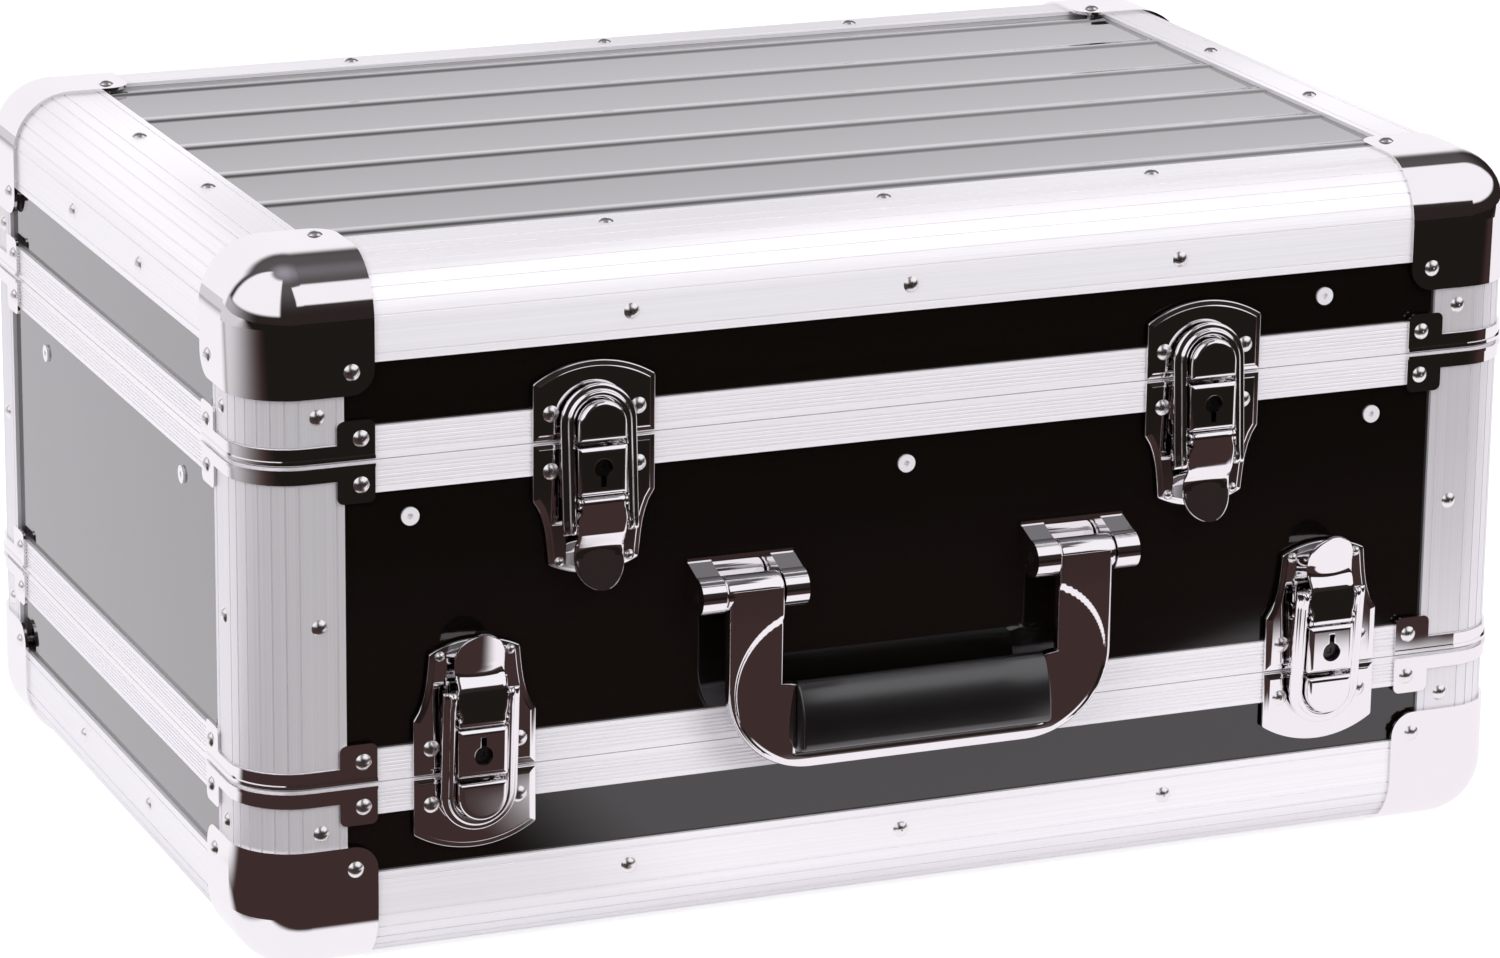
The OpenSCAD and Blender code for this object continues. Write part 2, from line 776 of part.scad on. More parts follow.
module ball_corner() {
  outer = edge_r + corner_t;
  centre = [edge_r, edge_r, edge_r];
  translate(centre) rotate([0, 0, 180]) rotate_extrude(angle = 90)
    mirror([1, 0]) corner_arc(edge_r, outer);
  for (i = [0 : 2]) turn_axes(i) {
    translate(centre) linear_extrude(corner_reach - edge_r) corner_arc(edge_r, outer);
    translate([0, 0, -corner_t]) linear_extrude(corner_t) lobe();
  }
}

module lid_ball_corners() color("lightgray") in_case() difference() {
  four_corners() translate([-half_w, 0, case_h]) mirror([0, 0, 1]) ball_corner();
  lid_holes();
}

module base_ball_corners() color("lightgray") in_case() difference() {
  four_corners() translate([-half_w, 0, 0]) ball_corner();
  base_holes();
}

// Corner straps: a band bent round the corner, a rolled edge beside the seam, and an end tab on each face

module strap_band(thickness, height) linear_extrude(height) {
  translate([edge_r, edge_r]) corner_arc(edge_r, edge_r + thickness);
  translate([edge_r, -thickness]) square([tab_reach - edge_r, thickness]);
  translate([-thickness, edge_r]) square([thickness, tab_reach - edge_r]);
}

module strap_tab() translate([0, 0, strap_off]) rotate([90, 0, 0]) linear_extrude(strap_t) {
  translate([tab_from, 0]) square([tab_reach - tab_from, tab_h - tab_r]);
  translate([tab_from + tab_r, 0]) square([tab_reach - tab_from - 2 * tab_r, tab_h]);
  for (x = [tab_from + tab_r, tab_reach - tab_r]) translate([x, tab_h - tab_r]) circle(tab_r);
}

module corner_strap() {
  translate([0, 0, strap_off]) strap_band(strap_t, strap_h);
  translate([0, 0, strap_off]) strap_band(strap_t + bead_t, bead_h);
  strap_tab();
  mirror([1, -1, 0]) strap_tab();
}

module straps() four_corners() translate([-half_w, 0, 0]) corner_strap();

module base_corner_straps() color("lightgray") in_case() difference() {
  translate([0, 0, seam_low]) mirror([0, 0, 1]) straps();
  base_holes();
}

module middle_corner_straps() color("lightgray") in_case() difference() {
  union() {
    translate([0, 0, seam_low]) straps();
    translate([0, 0, seam_high]) mirror([0, 0, 1]) straps();
  }
  middle_holes();
}

module lid_corner_straps() color("lightgray") in_case() difference() {
  translate([0, 0, seam_high]) straps();
  lid_holes();
}

module base_rivets() color("darkgray") in_case() base_rivet_spots() rivet();

module middle_rivets() color("darkgray") in_case() {
  middle_rivet_spots() rivet();
  low_rivet_spots() rivet(low_rivet_r);
}

module lid_rivets() color("darkgray") in_case() lid_rivet_spots() rivet();

module pop_rivets() color("whitesmoke") in_case() pop_spots() pop_rivet();

module lid_pop_rivet() color("whitesmoke") in_case() lid_pop_spot() pop_rivet();

// Battens behind the pop rivets, between the posts

module battens() color("burlywood") in_case() difference() {
  z = seam_high - batten_drop - batten_h / 2;
  ends = flange_w + joint_gap;
  union() {
    front_and_back() translate([ends - half_w, board_back, z]) cube([case_w - 2 * ends, batten_w, batten_h]);
    left_and_right() translate([board_back - half_w, ends, z]) cube([batten_w, case_d - 2 * ends, batten_h]);
  }
  middle_holes();
}

module pad() translate([wall_t + pad_gap - half_w, wall_t + pad_gap, wall_t])
  cube([case_w - 2 * (wall_t + pad_gap), case_d - 2 * (wall_t + pad_gap), pad_t]);

module base_pad() color("darkslategray") in_case() pad();

module lid_pad() color("darkslategray") in_case() translate([0, 0, case_h]) mirror([0, 0, 1]) pad();

// Latches, drawn with x along the seam, y from the seam towards the catch, and z outwards

module at_upper(s) translate([upper_latch_mid + s * upper_latch_x, 0, seam_high])
  rotate([90, 0, 0]) children();

module at_lower(s) translate([lower_latch_mid + s * lower_latch_x, 0, seam_low])
  rotate([90, 0, 0]) mirror([0, 1, 0]) children();

module catch_rivet_spots() for (i = [-1, 1])
  translate([i * plate_rivet_x, plate_rivet_off, plate_t]) children();

function cap_radius(half, rise) = (half * half + rise * rise) / (2 * rise);

module catch_outline(inset) {
  arch_r = cap_radius(latch_w / 2, catch_h - catch_side_h);
  intersection() {
    translate([inset - latch_w / 2, plate_gap]) square([latch_w - 2 * inset, catch_h]);
    translate([0, catch_h - arch_r]) circle(arch_r - inset, $fn = 96);
  }
}

// The turned edge reaches down to the board, past the rim
module turned_edge() translate([0, 0, -board_in]) linear_extrude(board_in) difference() {
  children(0);
  children(1);
  translate([-latch_w, -rim_h - joint_gap]) square([2 * latch_w, 2 * (rim_h + joint_gap)]);
}

module arch_shape(r, centre, leg) {
  translate([0, centre]) intersection() {
    circle(r);
    translate([-r, 0]) square([2 * r, r]);
  }
  translate([-r, -leg]) square([2 * r, centre + leg]);
}

module catch() difference() {
  union() {
    linear_extrude(plate_t) catch_outline(0);
    turned_edge() {
      catch_outline(0);
      catch_outline(turn_w);
    }
    linear_extrude(plate_t + catch_out) arch_shape(catch_r, catch_c, -catch_from);
  }
  catch_rivet_spots() shank_hole();
}

module upper_catches() color("lightgray") in_case() for (s = [-1, 1]) at_upper(s) catch();
module lower_catches() color("lightgray") in_case() for (s = [-1, 1]) at_lower(s) catch();

// Shares of the way from the side corner to the low corner, across and along, at the waist of the plate
waist_across_share = 0.72;
waist_along_share = 0.34;

module lever_plate_outline(inset) {
  w0 = latch_w / 2 - inset;
  w1 = lever_plate_low_w / 2 - inset;
  y0 = -lever_plate_side;
  y1 = -lever_plate_low;
  rise = lever_plate_h - lever_plate_low;
  low_r = cap_radius(lever_plate_low_w / 2, rise) - inset;
  waist = [w0 + (w1 - w0) * waist_across_share, y0 + (y1 - y0) * waist_along_share];
  right = [[w0, -plate_gap], [w0, y0], waist, [w1, y1]];
  left = [[-w1, y1], [-waist[0], waist[1]], [-w0, y0], [-w0, -plate_gap]];
  polygon(concat(right, left));
  intersection() {
    translate([-w1, y1 - rise]) square([2 * w1, 2 * rise]);
    translate([0, low_r + inset - lever_plate_h]) circle(low_r, $fn = 96);
  }
}

module ear() rotate([0, 90, 0]) linear_extrude(ear_t) {
  circle(heel_r);
  translate([0, -heel_r]) square([lever_pivot_out - plate_t / 2, 2 * heel_r]);
}

module lever_plate() difference() {
  union() {
    linear_extrude(plate_t) lever_plate_outline(0);
    turned_edge() {
      lever_plate_outline(0);
      lever_plate_outline(turn_w);
    }
    for (x = [-lever_w / 2, lever_w / 2 - ear_t]) translate([x, -lever_pivot_off, lever_pivot_out]) ear();
  }
  mirror([0, 1, 0]) catch_rivet_spots() shank_hole();
  for (i = [-1, 1]) translate([i * low_rivet_x, -low_rivet_off, plate_t]) shank_hole();
  translate([0, -lever_pivot_off, lever_pivot_out]) across(lever_w + 2 * cut, lever_pin_r + pin_play);
}

module across(length, r) translate([-length / 2, 0, 0]) rotate([0, 90, 0]) cylinder(r = r, h = length);

module at_all_latches() for (s = [-1, 1]) {
  at_upper(s) children();
  at_lower(s) children();
}

module lever_plates() color("lightgray") in_case() at_all_latches() lever_plate();

module lever_pins() color("darkgray") in_case() at_all_latches()
  translate([0, -lever_pivot_off, lever_pivot_out]) across(lever_w, lever_pin_r);

// The cover is a pressed box with its keyhole; the core sits behind the keyhole
cover_to = lever_pivot_off - heel_r - cover_gap;

module keyhole(r, slot) {
  circle(r);
  translate([-slot / 2, -key_slot_l]) square([slot, key_slot_l]);
}

module lock_covers() color("lightgray") in_case() at_all_latches() difference() {
  translate([-lever_w / 2, -cover_to, plate_t]) cube([lever_w, cover_to - cover_from, cover_out]);
  translate([0, -key_off, plate_t + cover_out - key_depth]) linear_extrude(key_depth + cut)
    keyhole(key_r, key_slot_w);
}

module lock_cores() color("gray") in_case() at_all_latches()
  translate([0, -key_off, plate_t + cover_out - key_depth]) difference() {
    cylinder(r = key_r - shank_play, h = key_depth - core_in);
    translate([-key_slot_w / 2, -key_slot_w / 2, (key_depth - core_in) / 2])
      cube([key_slot_w, key_slot_w, key_depth]);
  }

// Lever: a sheet bent twice, with cheeks, a rolled heel round its pin and a round thumb tab

heel_w = lever_w - 2 * (ear_t + ear_play);

module sheet_profile() {
  face = [[0, heel_r], [-bend_at, heel_r - bend_fall], [-dip_at, heel_r - dip_fall],
    [-tip_at, heel_r - dip_fall + tab_rise]];
  polygon(concat(face, [for (i = [len(face) - 1 : -1 : 0]) face[i] - [0, lever_t]]));
}

module cheek_profile() {
  from = heel_r - bend_fall * cheek_from / bend_at - lever_t / 2;
  to = heel_r - bend_fall * cheek_to / bend_at - lever_t / 2;
  low = bail_pivot_out - lever_pivot_out - stub_r - cheek_wall;
  polygon([[-cheek_from, from], [-cheek_from, low], [-cheek_to, low], [-cheek_to, to]]);
}

module sheet_plan() {
  translate([-heel_w / 2, -bend_at]) square([heel_w, bend_at]);
  translate([-lever_w / 2, lever_w / 2 - tip_at]) square([lever_w, tip_at - lever_w / 2 - cheek_from]);
  translate([0, lever_w / 2 - tip_at]) circle(lever_w / 2);
}

module lever() translate([0, -lever_pivot_off, lever_pivot_out]) difference() {
  union() {
    across(heel_w, heel_r);
    intersection() {
      translate([-lever_w / 2, 0, 0]) rotate([90, 0, 90]) linear_extrude(lever_w) sheet_profile();
      translate([0, 0, -tip_at / 2]) linear_extrude(tip_at) sheet_plan();
    }
    left_and_right() translate([-lever_w / 2, 0, 0]) rotate([90, 0, 90])
      linear_extrude(lever_t) cheek_profile();
  }
  across(heel_w + cut, lever_pin_r + pin_play);
  translate([0, -bail_pivot_s, bail_pivot_out - lever_pivot_out]) across(lever_w + cut, stub_r + pin_play);
}

module upper_left_lever() color("lightgray") in_case() at_upper(-1) lever();
module upper_right_lever() color("lightgray") in_case() at_upper(1) lever();
module lower_left_lever() color("lightgray") in_case() at_lower(-1) lever();
module lower_right_lever() color("lightgray") in_case() at_lower(1) lever();

// Bail: a ring in two steps, drawn from its pivot, with stubs that turn in the cheeks of the lever

module bail_layer(inner, outer, thickness) translate([0, 0, -bail_low_t / 2]) linear_extrude(thickness)
  difference() {
    arch = (lever_pivot_off + bail_pivot_s + catch_c) / cos(bail_slope);
    arch_shape(outer, arch, bail_leg_past);
    arch_shape(inner, arch, bail_leg_past + cut);
  }

module bail() {
  inner = catch_r + bail_play;
  stub_l = bail_w / 2 + bail_play + lever_t;
  translate([0, -lever_pivot_off - bail_pivot_s, bail_pivot_out]) rotate([-bail_slope, 0, 0]) {
    bail_layer(inner, inner + bail_inner_w, bail_t);
    bail_layer(inner, inner + bail_w, bail_low_t);
    left_and_right() translate([inner + bail_w / 2 - stub_l, 0, 0]) rotate([0, 90, 0])
      cylinder(r = stub_r, h = stub_l);
  }
}

module upper_left_bail() color("lightgray") in_case() at_upper(-1) bail();
module upper_right_bail() color("lightgray") in_case() at_upper(1) bail();
module lower_left_bail() color("lightgray") in_case() at_lower(-1) bail();
module lower_right_bail() color("lightgray") in_case() at_lower(1) bail();

// Handle, drawn round its pivot line with x along the line, y upwards and z outwards

module at_handle() translate([0, -pivot_out, seam_low + pivot_up]) rotate([90, 0, 0]) children();

module at_arms() for (s = [-1, 1]) translate([s * mount_x, 0, 0]) children();

module mount() {
  back = pivot_out + board_in;
  ear_w = (mount_w - arm_w) / 2 - arm_play;
  difference() {
    union() {
      for (x = [-mount_w / 2, mount_w / 2 - ear_w]) translate([x, 0, 0]) rotate([0, 90, 0])
        linear_extrude(ear_w) {
          circle(mount_r);
          polygon([[0, mount_r], [back, mount_top], [back, -mount_r], [0, -mount_r]]);
        }
      translate([-mount_w / 2, -mount_r, -back]) cube([mount_w, mount_r + mount_top, mount_back_t]);
    }
    across(mount_w + 2 * cut, handle_pin_r + pin_play);
  }
}

module handle_mounts() color("lightgray") in_case() at_handle() at_arms() mount();

module handle_pins() color("darkgray") in_case() at_handle() at_arms() across(mount_w, handle_pin_r);

module handle_outline() {
  corner = handle_w / 2 - handle_r;
  translate([-handle_w / 2, handle_r - handle_drop]) square([handle_w, handle_drop - handle_r]);
  translate([-corner, -handle_drop]) square([2 * corner, handle_drop]);
  for (s = [-1, 1]) translate([s * corner, handle_r - handle_drop]) circle(handle_r, $fn = 96);
}

// The window narrows beside the grip
module handle_window() {
  inner = mount_x - arm_w / 2;
  grip_top = bar_h + grip_h - handle_drop;
  translate([-inner, grip_top]) square([2 * inner, handle_drop]);
  translate([-grip_l / 2, bar_h - handle_drop]) square([grip_l, grip_h + cut]);
}

// The lower part of the arms and the bar is set back, inside an arc on each arm
module handle_sweep() {
  x = handle_w / 2 - sweep_r - 2 * sweep_d;
  rim = 3 / 2 * sweep_d;
  translate([0, 0, barrel_r - sweep_d]) linear_extrude(sweep_d + cut) {
    for (s = [-1, 1]) translate([s * x, sweep_r + rim - handle_drop]) circle(sweep_r, $fn = 96);
    translate([-x, rim - handle_drop]) square([2 * x, sweep_r]);
  }
}

module handle_frame() color("silver") in_case() at_handle() difference() {
  union() {
    translate([0, 0, barrel_r - arm_t]) linear_extrude(arm_t) difference() {
      handle_outline();
      handle_window();
    }
    at_arms() across(arm_w, barrel_r);
  }
  at_arms() across(arm_w + cut, handle_pin_r + pin_play);
  handle_sweep();
}

module handle_grip() color("black") in_case() at_handle()
  translate([-grip_l / 2, bar_h + grip_h / 2 - handle_drop, grip_out - pivot_out]) rotate([90, 0, 90])
    linear_extrude(grip_l) {
      side = grip_h - grip_t;
      square([side, grip_t], center = true);
      for (s = [-1, 1]) translate([s * side / 2, 0]) circle(grip_t / 2);
    }

// Hinges on the back: three knuckles a hinge, the middle one on the outer box

module leaf_shape() {
  translate([-hinge_w / 2, seam_gap]) square([hinge_w, leaf_h - seam_gap - leaf_r]);
  translate([leaf_r - hinge_w / 2, seam_gap]) square([hinge_w - 2 * leaf_r, leaf_h - seam_gap]);
  for (s = [-1, 1]) translate([s * (hinge_w / 2 - leaf_r), leaf_h - leaf_r]) circle(leaf_r);
}

module knuckle(x0, x1) translate([x0, 0, hinge_out]) rotate([0, 90, 0])
  cylinder(r = knuckle_r, h = x1 - x0);

module knuckle_room(x0, x1) translate([x0, -cut, -cut])
  cube([x1 - x0, cut + knuckle_r + knuckle_play, leaf_t + 2 * cut]);

module hinge_bore() translate([0, 0, hinge_out]) across(hinge_w + 2 * cut, hinge_pin_r + pin_play);

module centre_leaf() {
  third = hinge_w / 6 - knuckle_play / 2;
  difference() {
    union() {
      linear_extrude(leaf_t) leaf_shape();
      knuckle(-third, third);
    }
    left_and_right() knuckle_room(third, hinge_w / 2 + cut);
    hinge_bore();
  }
}

module outer_leaf() {
  third = hinge_w / 6 + knuckle_play / 2;
  difference() {
    union() {
      linear_extrude(leaf_t) leaf_shape();
      left_and_right() knuckle(third, hinge_w / 2);
    }
    knuckle_room(-third, third);
    hinge_bore();
  }
}

// Leaves stand above the seam; mirrored ones hang below it
module at_hinges(seam) for (s = [-1, 1]) translate([s * hinge_x, case_d, seam])
  rotate([90, 0, 0]) mirror([0, 0, 1]) children();

module lid_hinge_leaves() color("lightgray") in_case() difference() {
  at_hinges(seam_high) centre_leaf();
  lid_holes();
}

module middle_upper_leaves() color("lightgray") in_case() difference() {
  at_hinges(seam_high) mirror([0, 1, 0]) outer_leaf();
  middle_holes();
}

module middle_lower_leaves() color("lightgray") in_case() difference() {
  at_hinges(seam_low) outer_leaf();
  middle_holes();
}

module base_hinge_leaves() color("lightgray") in_case() difference() {
  at_hinges(seam_low) mirror([0, 1, 0]) centre_leaf();
  base_holes();
}

module hinge_pins(seam) color("darkgray") in_case() at_hinges(seam)
  translate([0, 0, hinge_out]) across(hinge_w, hinge_pin_r);

module upper_hinge_pins() hinge_pins(seam_high);
module lower_hinge_pins() hinge_pins(seam_low);

base_floor_board();
base_front_board();
base_back_board();
base_left_board();
base_right_board();
base_edges();
base_posts();
base_rim();
base_ball_corners();
base_corner_straps();
base_rivets();
base_pad();
lower_catches();
base_hinge_leaves();
middle_front_board();
middle_back_board();
middle_left_board();
middle_right_board();
middle_posts();
middle_lower_rim();
middle_upper_rim();
middle_corner_straps();
middle_rivets();
pop_rivets();
battens();
handle_mounts();
handle_pins();
lever_plates();
lock_covers();
lock_cores();
lever_pins();
middle_upper_leaves();
middle_lower_leaves();
upper_hinge_pins();
lower_hinge_pins();
lid_top_board();
lid_front_board();
lid_back_board();
lid_left_board();
lid_right_board();
lid_edges();
lid_posts();
lid_rim();
lid_ball_corners();
lid_corner_straps();
lid_rivets();
lid_pad();
upper_catches();
lid_hinge_leaves();
lid_pop_rivet();
handle_frame();
handle_grip();
upper_left_lever();
upper_right_lever();
lower_left_lever();
lower_right_lever();
upper_left_bail();
upper_right_bail();
lower_left_bail();
lower_right_bail();
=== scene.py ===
import math

import bmesh
import bpy
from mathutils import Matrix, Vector


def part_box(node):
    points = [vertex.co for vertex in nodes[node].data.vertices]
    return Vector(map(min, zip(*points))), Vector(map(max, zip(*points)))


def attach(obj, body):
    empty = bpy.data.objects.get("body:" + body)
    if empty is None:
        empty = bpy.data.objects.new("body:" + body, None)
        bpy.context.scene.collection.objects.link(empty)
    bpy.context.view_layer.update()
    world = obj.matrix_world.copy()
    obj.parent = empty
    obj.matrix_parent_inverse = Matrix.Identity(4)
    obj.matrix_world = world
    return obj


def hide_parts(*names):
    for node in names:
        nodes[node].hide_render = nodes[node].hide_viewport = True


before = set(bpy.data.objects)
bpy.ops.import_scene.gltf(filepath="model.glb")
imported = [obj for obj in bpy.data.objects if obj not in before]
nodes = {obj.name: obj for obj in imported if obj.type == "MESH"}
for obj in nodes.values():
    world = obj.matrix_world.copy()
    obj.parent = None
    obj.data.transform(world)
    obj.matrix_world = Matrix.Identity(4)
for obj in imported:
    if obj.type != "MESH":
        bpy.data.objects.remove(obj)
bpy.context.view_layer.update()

# The camera stands where the photograph was taken, to the left of the front and a little above the case,
# with a long lens.
eye = bpy.data.cameras.new("photo_lens")
eye.lens = 141.0
eye.sensor_width = 36.0
eye.clip_end = 50.0
camera = bpy.data.objects.new("photo_camera", eye)
camera.location = (-0.83718, -2.01345, 0.76210)
camera.rotation_euler = [math.radians(turn) for turn in (73.5473, -0.6398, -22.4890)]
bpy.context.scene.collection.objects.link(camera)
bpy.context.scene.camera = camera
bpy.context.scene.view_settings.view_transform = "Standard"


# The studio: a white floor and backdrop, and two soft lamps at the front and the left. Polished pieces mirror
# a room of their own: a dark brown room with a window at each side and a white wall behind, and a brown floor
# with a painted pool of light on it, under the case and just in front of it.
class Wire:
    """A value in a material. Sums, products and comparisons of wires add the nodes that work them out."""

    def __init__(self, paint, socket):
        self.paint, self.socket = paint, socket

    def math(self, operation, *values):
        sockets = dict(enumerate((self,) + values))
        return self.paint.node("Math", {"operation": operation}, sockets)

    def __add__(self, other):
        return self.math("ADD", other)

    def __sub__(self, other):
        return self.math("SUBTRACT", other)

    def __mul__(self, other):
        return self.math("MULTIPLY", other)

    def __gt__(self, other):
        return self.math("GREATER_THAN", other)

    def __abs__(self):
        return self.math("ABSOLUTE")

    def __rsub__(self, other):
        return self.paint.node("Math", {"operation": "SUBTRACT"}, {0: other, 1: self})

    __radd__ = __add__
    __rmul__ = __mul__


class Paint:
    """The node tree of one material, or of the world."""

    def __init__(self, owner):
        owner.use_nodes = True
        self.tree = owner.node_tree
        self.tree.nodes.clear()

    def node(self, kind, settings, sockets, out=0):
        made = self.tree.nodes.new("ShaderNode" + kind)
        for name, value in settings.items():
            setattr(made, name, value)
        for name, value in sockets.items():
            if isinstance(value, Wire):
                self.tree.links.new(value.socket, made.inputs[name])
            else:
                made.inputs[name].default_value = value
        return Wire(self, made.outputs[out] if made.outputs else None)

    def place(self):
        """The place on the piece, in metres, as three wires."""
        point = self.node("TexCoord", {}, {}, "Object")
        return [self.node("SeparateXYZ", {}, {0: point}, axis) for axis in range(3)]

    def vector(self, x, y, z):
        return self.node("CombineXYZ", {}, {0: x, 1: y, 2: z})

    def noise(self, point, scale, detail=3.0, rough=0.5):
        sockets = {"Vector": point, "Scale": scale, "Detail": detail, "Roughness": rough}
        return self.node("TexNoise", {}, sockets)

    def ramp(self, value, low, high):
        """0 below low and 1 above high, with a smooth rise between them."""
        sockets = {0: value, 1: low, 2: high, 3: 0.0, 4: 1.0}
        return self.node("MapRange", {"interpolation_type": "SMOOTHSTEP"}, sockets)

    def mix(self, factor, first, second):
        return self.node("Mix", {"data_type": "RGBA"}, {0: factor, 6: first, 7: second}, 2)

    def bump(self, height, depth):
        return self.node("Bump", {}, {"Strength": 1.0, "Distance": depth, "Height": height})

    def surface(self, **sockets):
        named = {name.replace("_", " "): value for name, value in sockets.items()}
        shader = self.node("BsdfPrincipled", {}, named)
        self.node("OutputMaterial", {}, {"Surface": shader})


def new_paint(name):
    material = bpy.data.materials.new(name)
    return material, Paint(material)


WALL_WHITE = (0.98, 0.96, 1.0, 1)
WALL_DARK = (0.026, 0.019, 0.018, 1)
CEILING = (0.100, 0.090, 0.092, 1)
ZENITH = (0.330, 0.310, 0.350, 1)
studio = bpy.data.worlds.new("studio")
bpy.context.scene.world = studio
sky = Paint(studio)
direction = sky.node("TexCoord", {}, {}, "Generated")
to_right, to_back, rise = [sky.node("SeparateXYZ", {}, {0: direction}, axis) for axis in range(3)]
bearing = to_right.math("ARCTAN2", 0 - to_back) * math.degrees(1)
height = rise.math("ARCSINE") * math.degrees(1)


def beyond(value, start, soft=4.0):
    """1 where an angle in degrees is beyond the start, 0 before it, with a soft step."""
    return sky.ramp(value, start - soft / 2, start + soft / 2)


def between(value, low, low_soft, high, high_soft):
    """1 between two angles in degrees, each with its own soft step."""
    return beyond(value, low, low_soft) * (1 - beyond(value, high, high_soft))


SILL, SILL_DROP, HEAD, HEAD_RISE, LOW_WALL_SHADE = 26, 12, 59, 6, 0.45
left_window = between(bearing, -130, 10, -26, 6) * between(height, 10, 6, 74, 8)
sill = SILL - SILL_DROP * beyond(bearing, 31, 6)
head = HEAD + HEAD_RISE * beyond(bearing, 52, 8)
right_window = between(bearing, 5, 4, 110, 8) * beyond(height - sill, 0) * (1 - beyond(height - head, 0))
back_wall = beyond(abs(bearing), 142, 12) * (1 - beyond(height, 36, 20))
left_low = (1 - beyond(bearing, -100, 70)) * (1 - beyond(height, 10, 6)) * LOW_WALL_SHADE
white = left_window.math("MAXIMUM", right_window).math("MAXIMUM", back_wall).math("MAXIMUM", left_low)
shade = sky.mix(beyond(height, 76, 26), sky.mix(beyond(height, 35, 50), WALL_DARK, CEILING), ZENITH)
glossy = sky.node("LightPath", {}, {}, "Is Glossy Ray")
seen = sky.node("LightPath", {}, {}, "Is Camera Ray")
SKY_LIGHT, PLAIN_WHITE = (0.86, 0.86, 0.87, 1), (1, 1, 1, 1)
level = sky.mix(glossy, SKY_LIGHT, sky.mix(white, shade, WALL_WHITE))
backdrop = sky.node("Background", {}, {"Color": sky.mix(seen, level, PLAIN_WHITE), "Strength": 1.0})
sky.node("OutputWorld", {}, {"Surface": backdrop})

HALF_FLOOR = 6.0
floor_corners = [(x * HALF_FLOOR, y * HALF_FLOOR, 0) for x, y in ((-1, -1), (1, -1), (1, 1), (-1, 1))]
floor_mesh = bpy.data.meshes.new("studio_floor")
floor_mesh.from_pydata(floor_corners, [], [(0, 1, 2, 3)])
floor = bpy.data.objects.new("studio_floor", floor_mesh)
bpy.context.scene.collection.objects.link(floor)
floor_material, paint = new_paint("studio_floor")
x, y, z = paint.place()
POOL_FRONT, POOL_REACH, POOL_SOFT = 0.335, 0.065, 0.02
POOL_WIDENS, POOL_LEFT, POOL_RIGHT, POOL_CORNER = (0.14, 0.30), (-0.12, -0.05), (0.30, 0.33), (-0.37, -0.345)
BEHIND_CASE, LEFT_OF_CASE, FAR_LEFT, FAR_LEFT_SHADE = (-0.08, -0.02), (-0.85, -0.60), (-0.6, 0.5), 0.7
UNDER_FRONT, UNDER_LEFT, BROWN_NEAR = (-0.185, -0.175), (-0.30, -0.28), (-0.72, -0.48)
DARK_BROWN, BROWN, POOL_LIGHT = (0.013, 0.0105, 0.0085, 1), (0.050, 0.029, 0.028, 1), (0.975, 0.935, 0.98, 1)
# Polished pieces see the floor glow with this pattern. It is a painted pool of light under and in front of
# the case, with painted light behind the case and to the far left, and dark brown beyond.
front_edge = y + POOL_FRONT + POOL_REACH * paint.ramp(x, *POOL_WIDENS)
right_corner = paint.ramp(x, *POOL_RIGHT) * (1 - paint.ramp(y, *POOL_CORNER))
light_pool = paint.ramp(front_edge, -POOL_SOFT, POOL_SOFT) * paint.ramp(x, *POOL_LEFT) * (1 - right_corner)
behind = paint.ramp(y, *BEHIND_CASE) * paint.ramp(x, *LEFT_OF_CASE)
far_left = paint.ramp(y, *FAR_LEFT) * (1 - paint.ramp(x, *LEFT_OF_CASE)) * FAR_LEFT_SHADE
far = paint.mix(paint.ramp(y, *BROWN_NEAR), DARK_BROWN, BROWN)
under = paint.ramp(y, *UNDER_FRONT) * paint.ramp(x, *UNDER_LEFT)
lit = light_pool.math("MAXIMUM", behind).math("MAXIMUM", under).math("MAXIMUM", far_left)
mirrored = paint.mix(lit, far, paint.mix(light_pool, WALL_WHITE, POOL_LIGHT))
glossy = paint.node("LightPath", {}, {}, "Is Glossy Ray")
seen = paint.node("LightPath", {}, {}, "Is Camera Ray")
FLOOR_GREY, FLOOR_GLOW = (0.66, 0.66, 0.67, 1), 0.6
matt = paint.node("BsdfDiffuse", {}, {"Color": FLOOR_GREY})
glow = paint.node("Emission", {}, {"Color": PLAIN_WHITE, "Strength": seen * FLOOR_GLOW})
shown = paint.node("AddShader", {}, {0: matt, 1: glow})
mirror_image = paint.node("Emission", {}, {"Color": mirrored, "Strength": 1.0})
shade = paint.node("MixShader", {}, {0: glossy, 1: shown, 2: mirror_image})
paint.node("OutputMaterial", {}, {"Surface": shade})
floor_mesh.materials.append(floor_material)

CASE_MIDDLE = Vector((0, 0, 0.12))
for name, place, size, power in (
    ("front_lamp", (0.9, -2.2, 1.7), 1.6, 34.0),
    ("left_lamp", (-1.85, -1.25, 1.2), 1.4, 20.0),
):
    light = bpy.data.lights.new(name, "AREA")
    light.size = size
    light.energy = power
    lamp = bpy.data.objects.new(name, light)
    lamp.location = place
    aim = CASE_MIDDLE - Vector(place)
    lamp.rotation_euler = aim.to_track_quat("-Z", "Y").to_euler()
    lamp.visible_glossy = False
    lamp.visible_camera = False
    bpy.context.scene.collection.objects.link(lamp)


# Boards: thin plywood faced with black high-gloss laminate, slid into the slots of the profiles. The
# laminate has a fine grain along the width, and mirrors the room at a low angle.
def finish(material, *names):
    """Gives the named pieces of the frame this material."""
    for name in names:
        mesh = nodes[name].data
        mesh.materials.clear()
        mesh.materials.append(material)


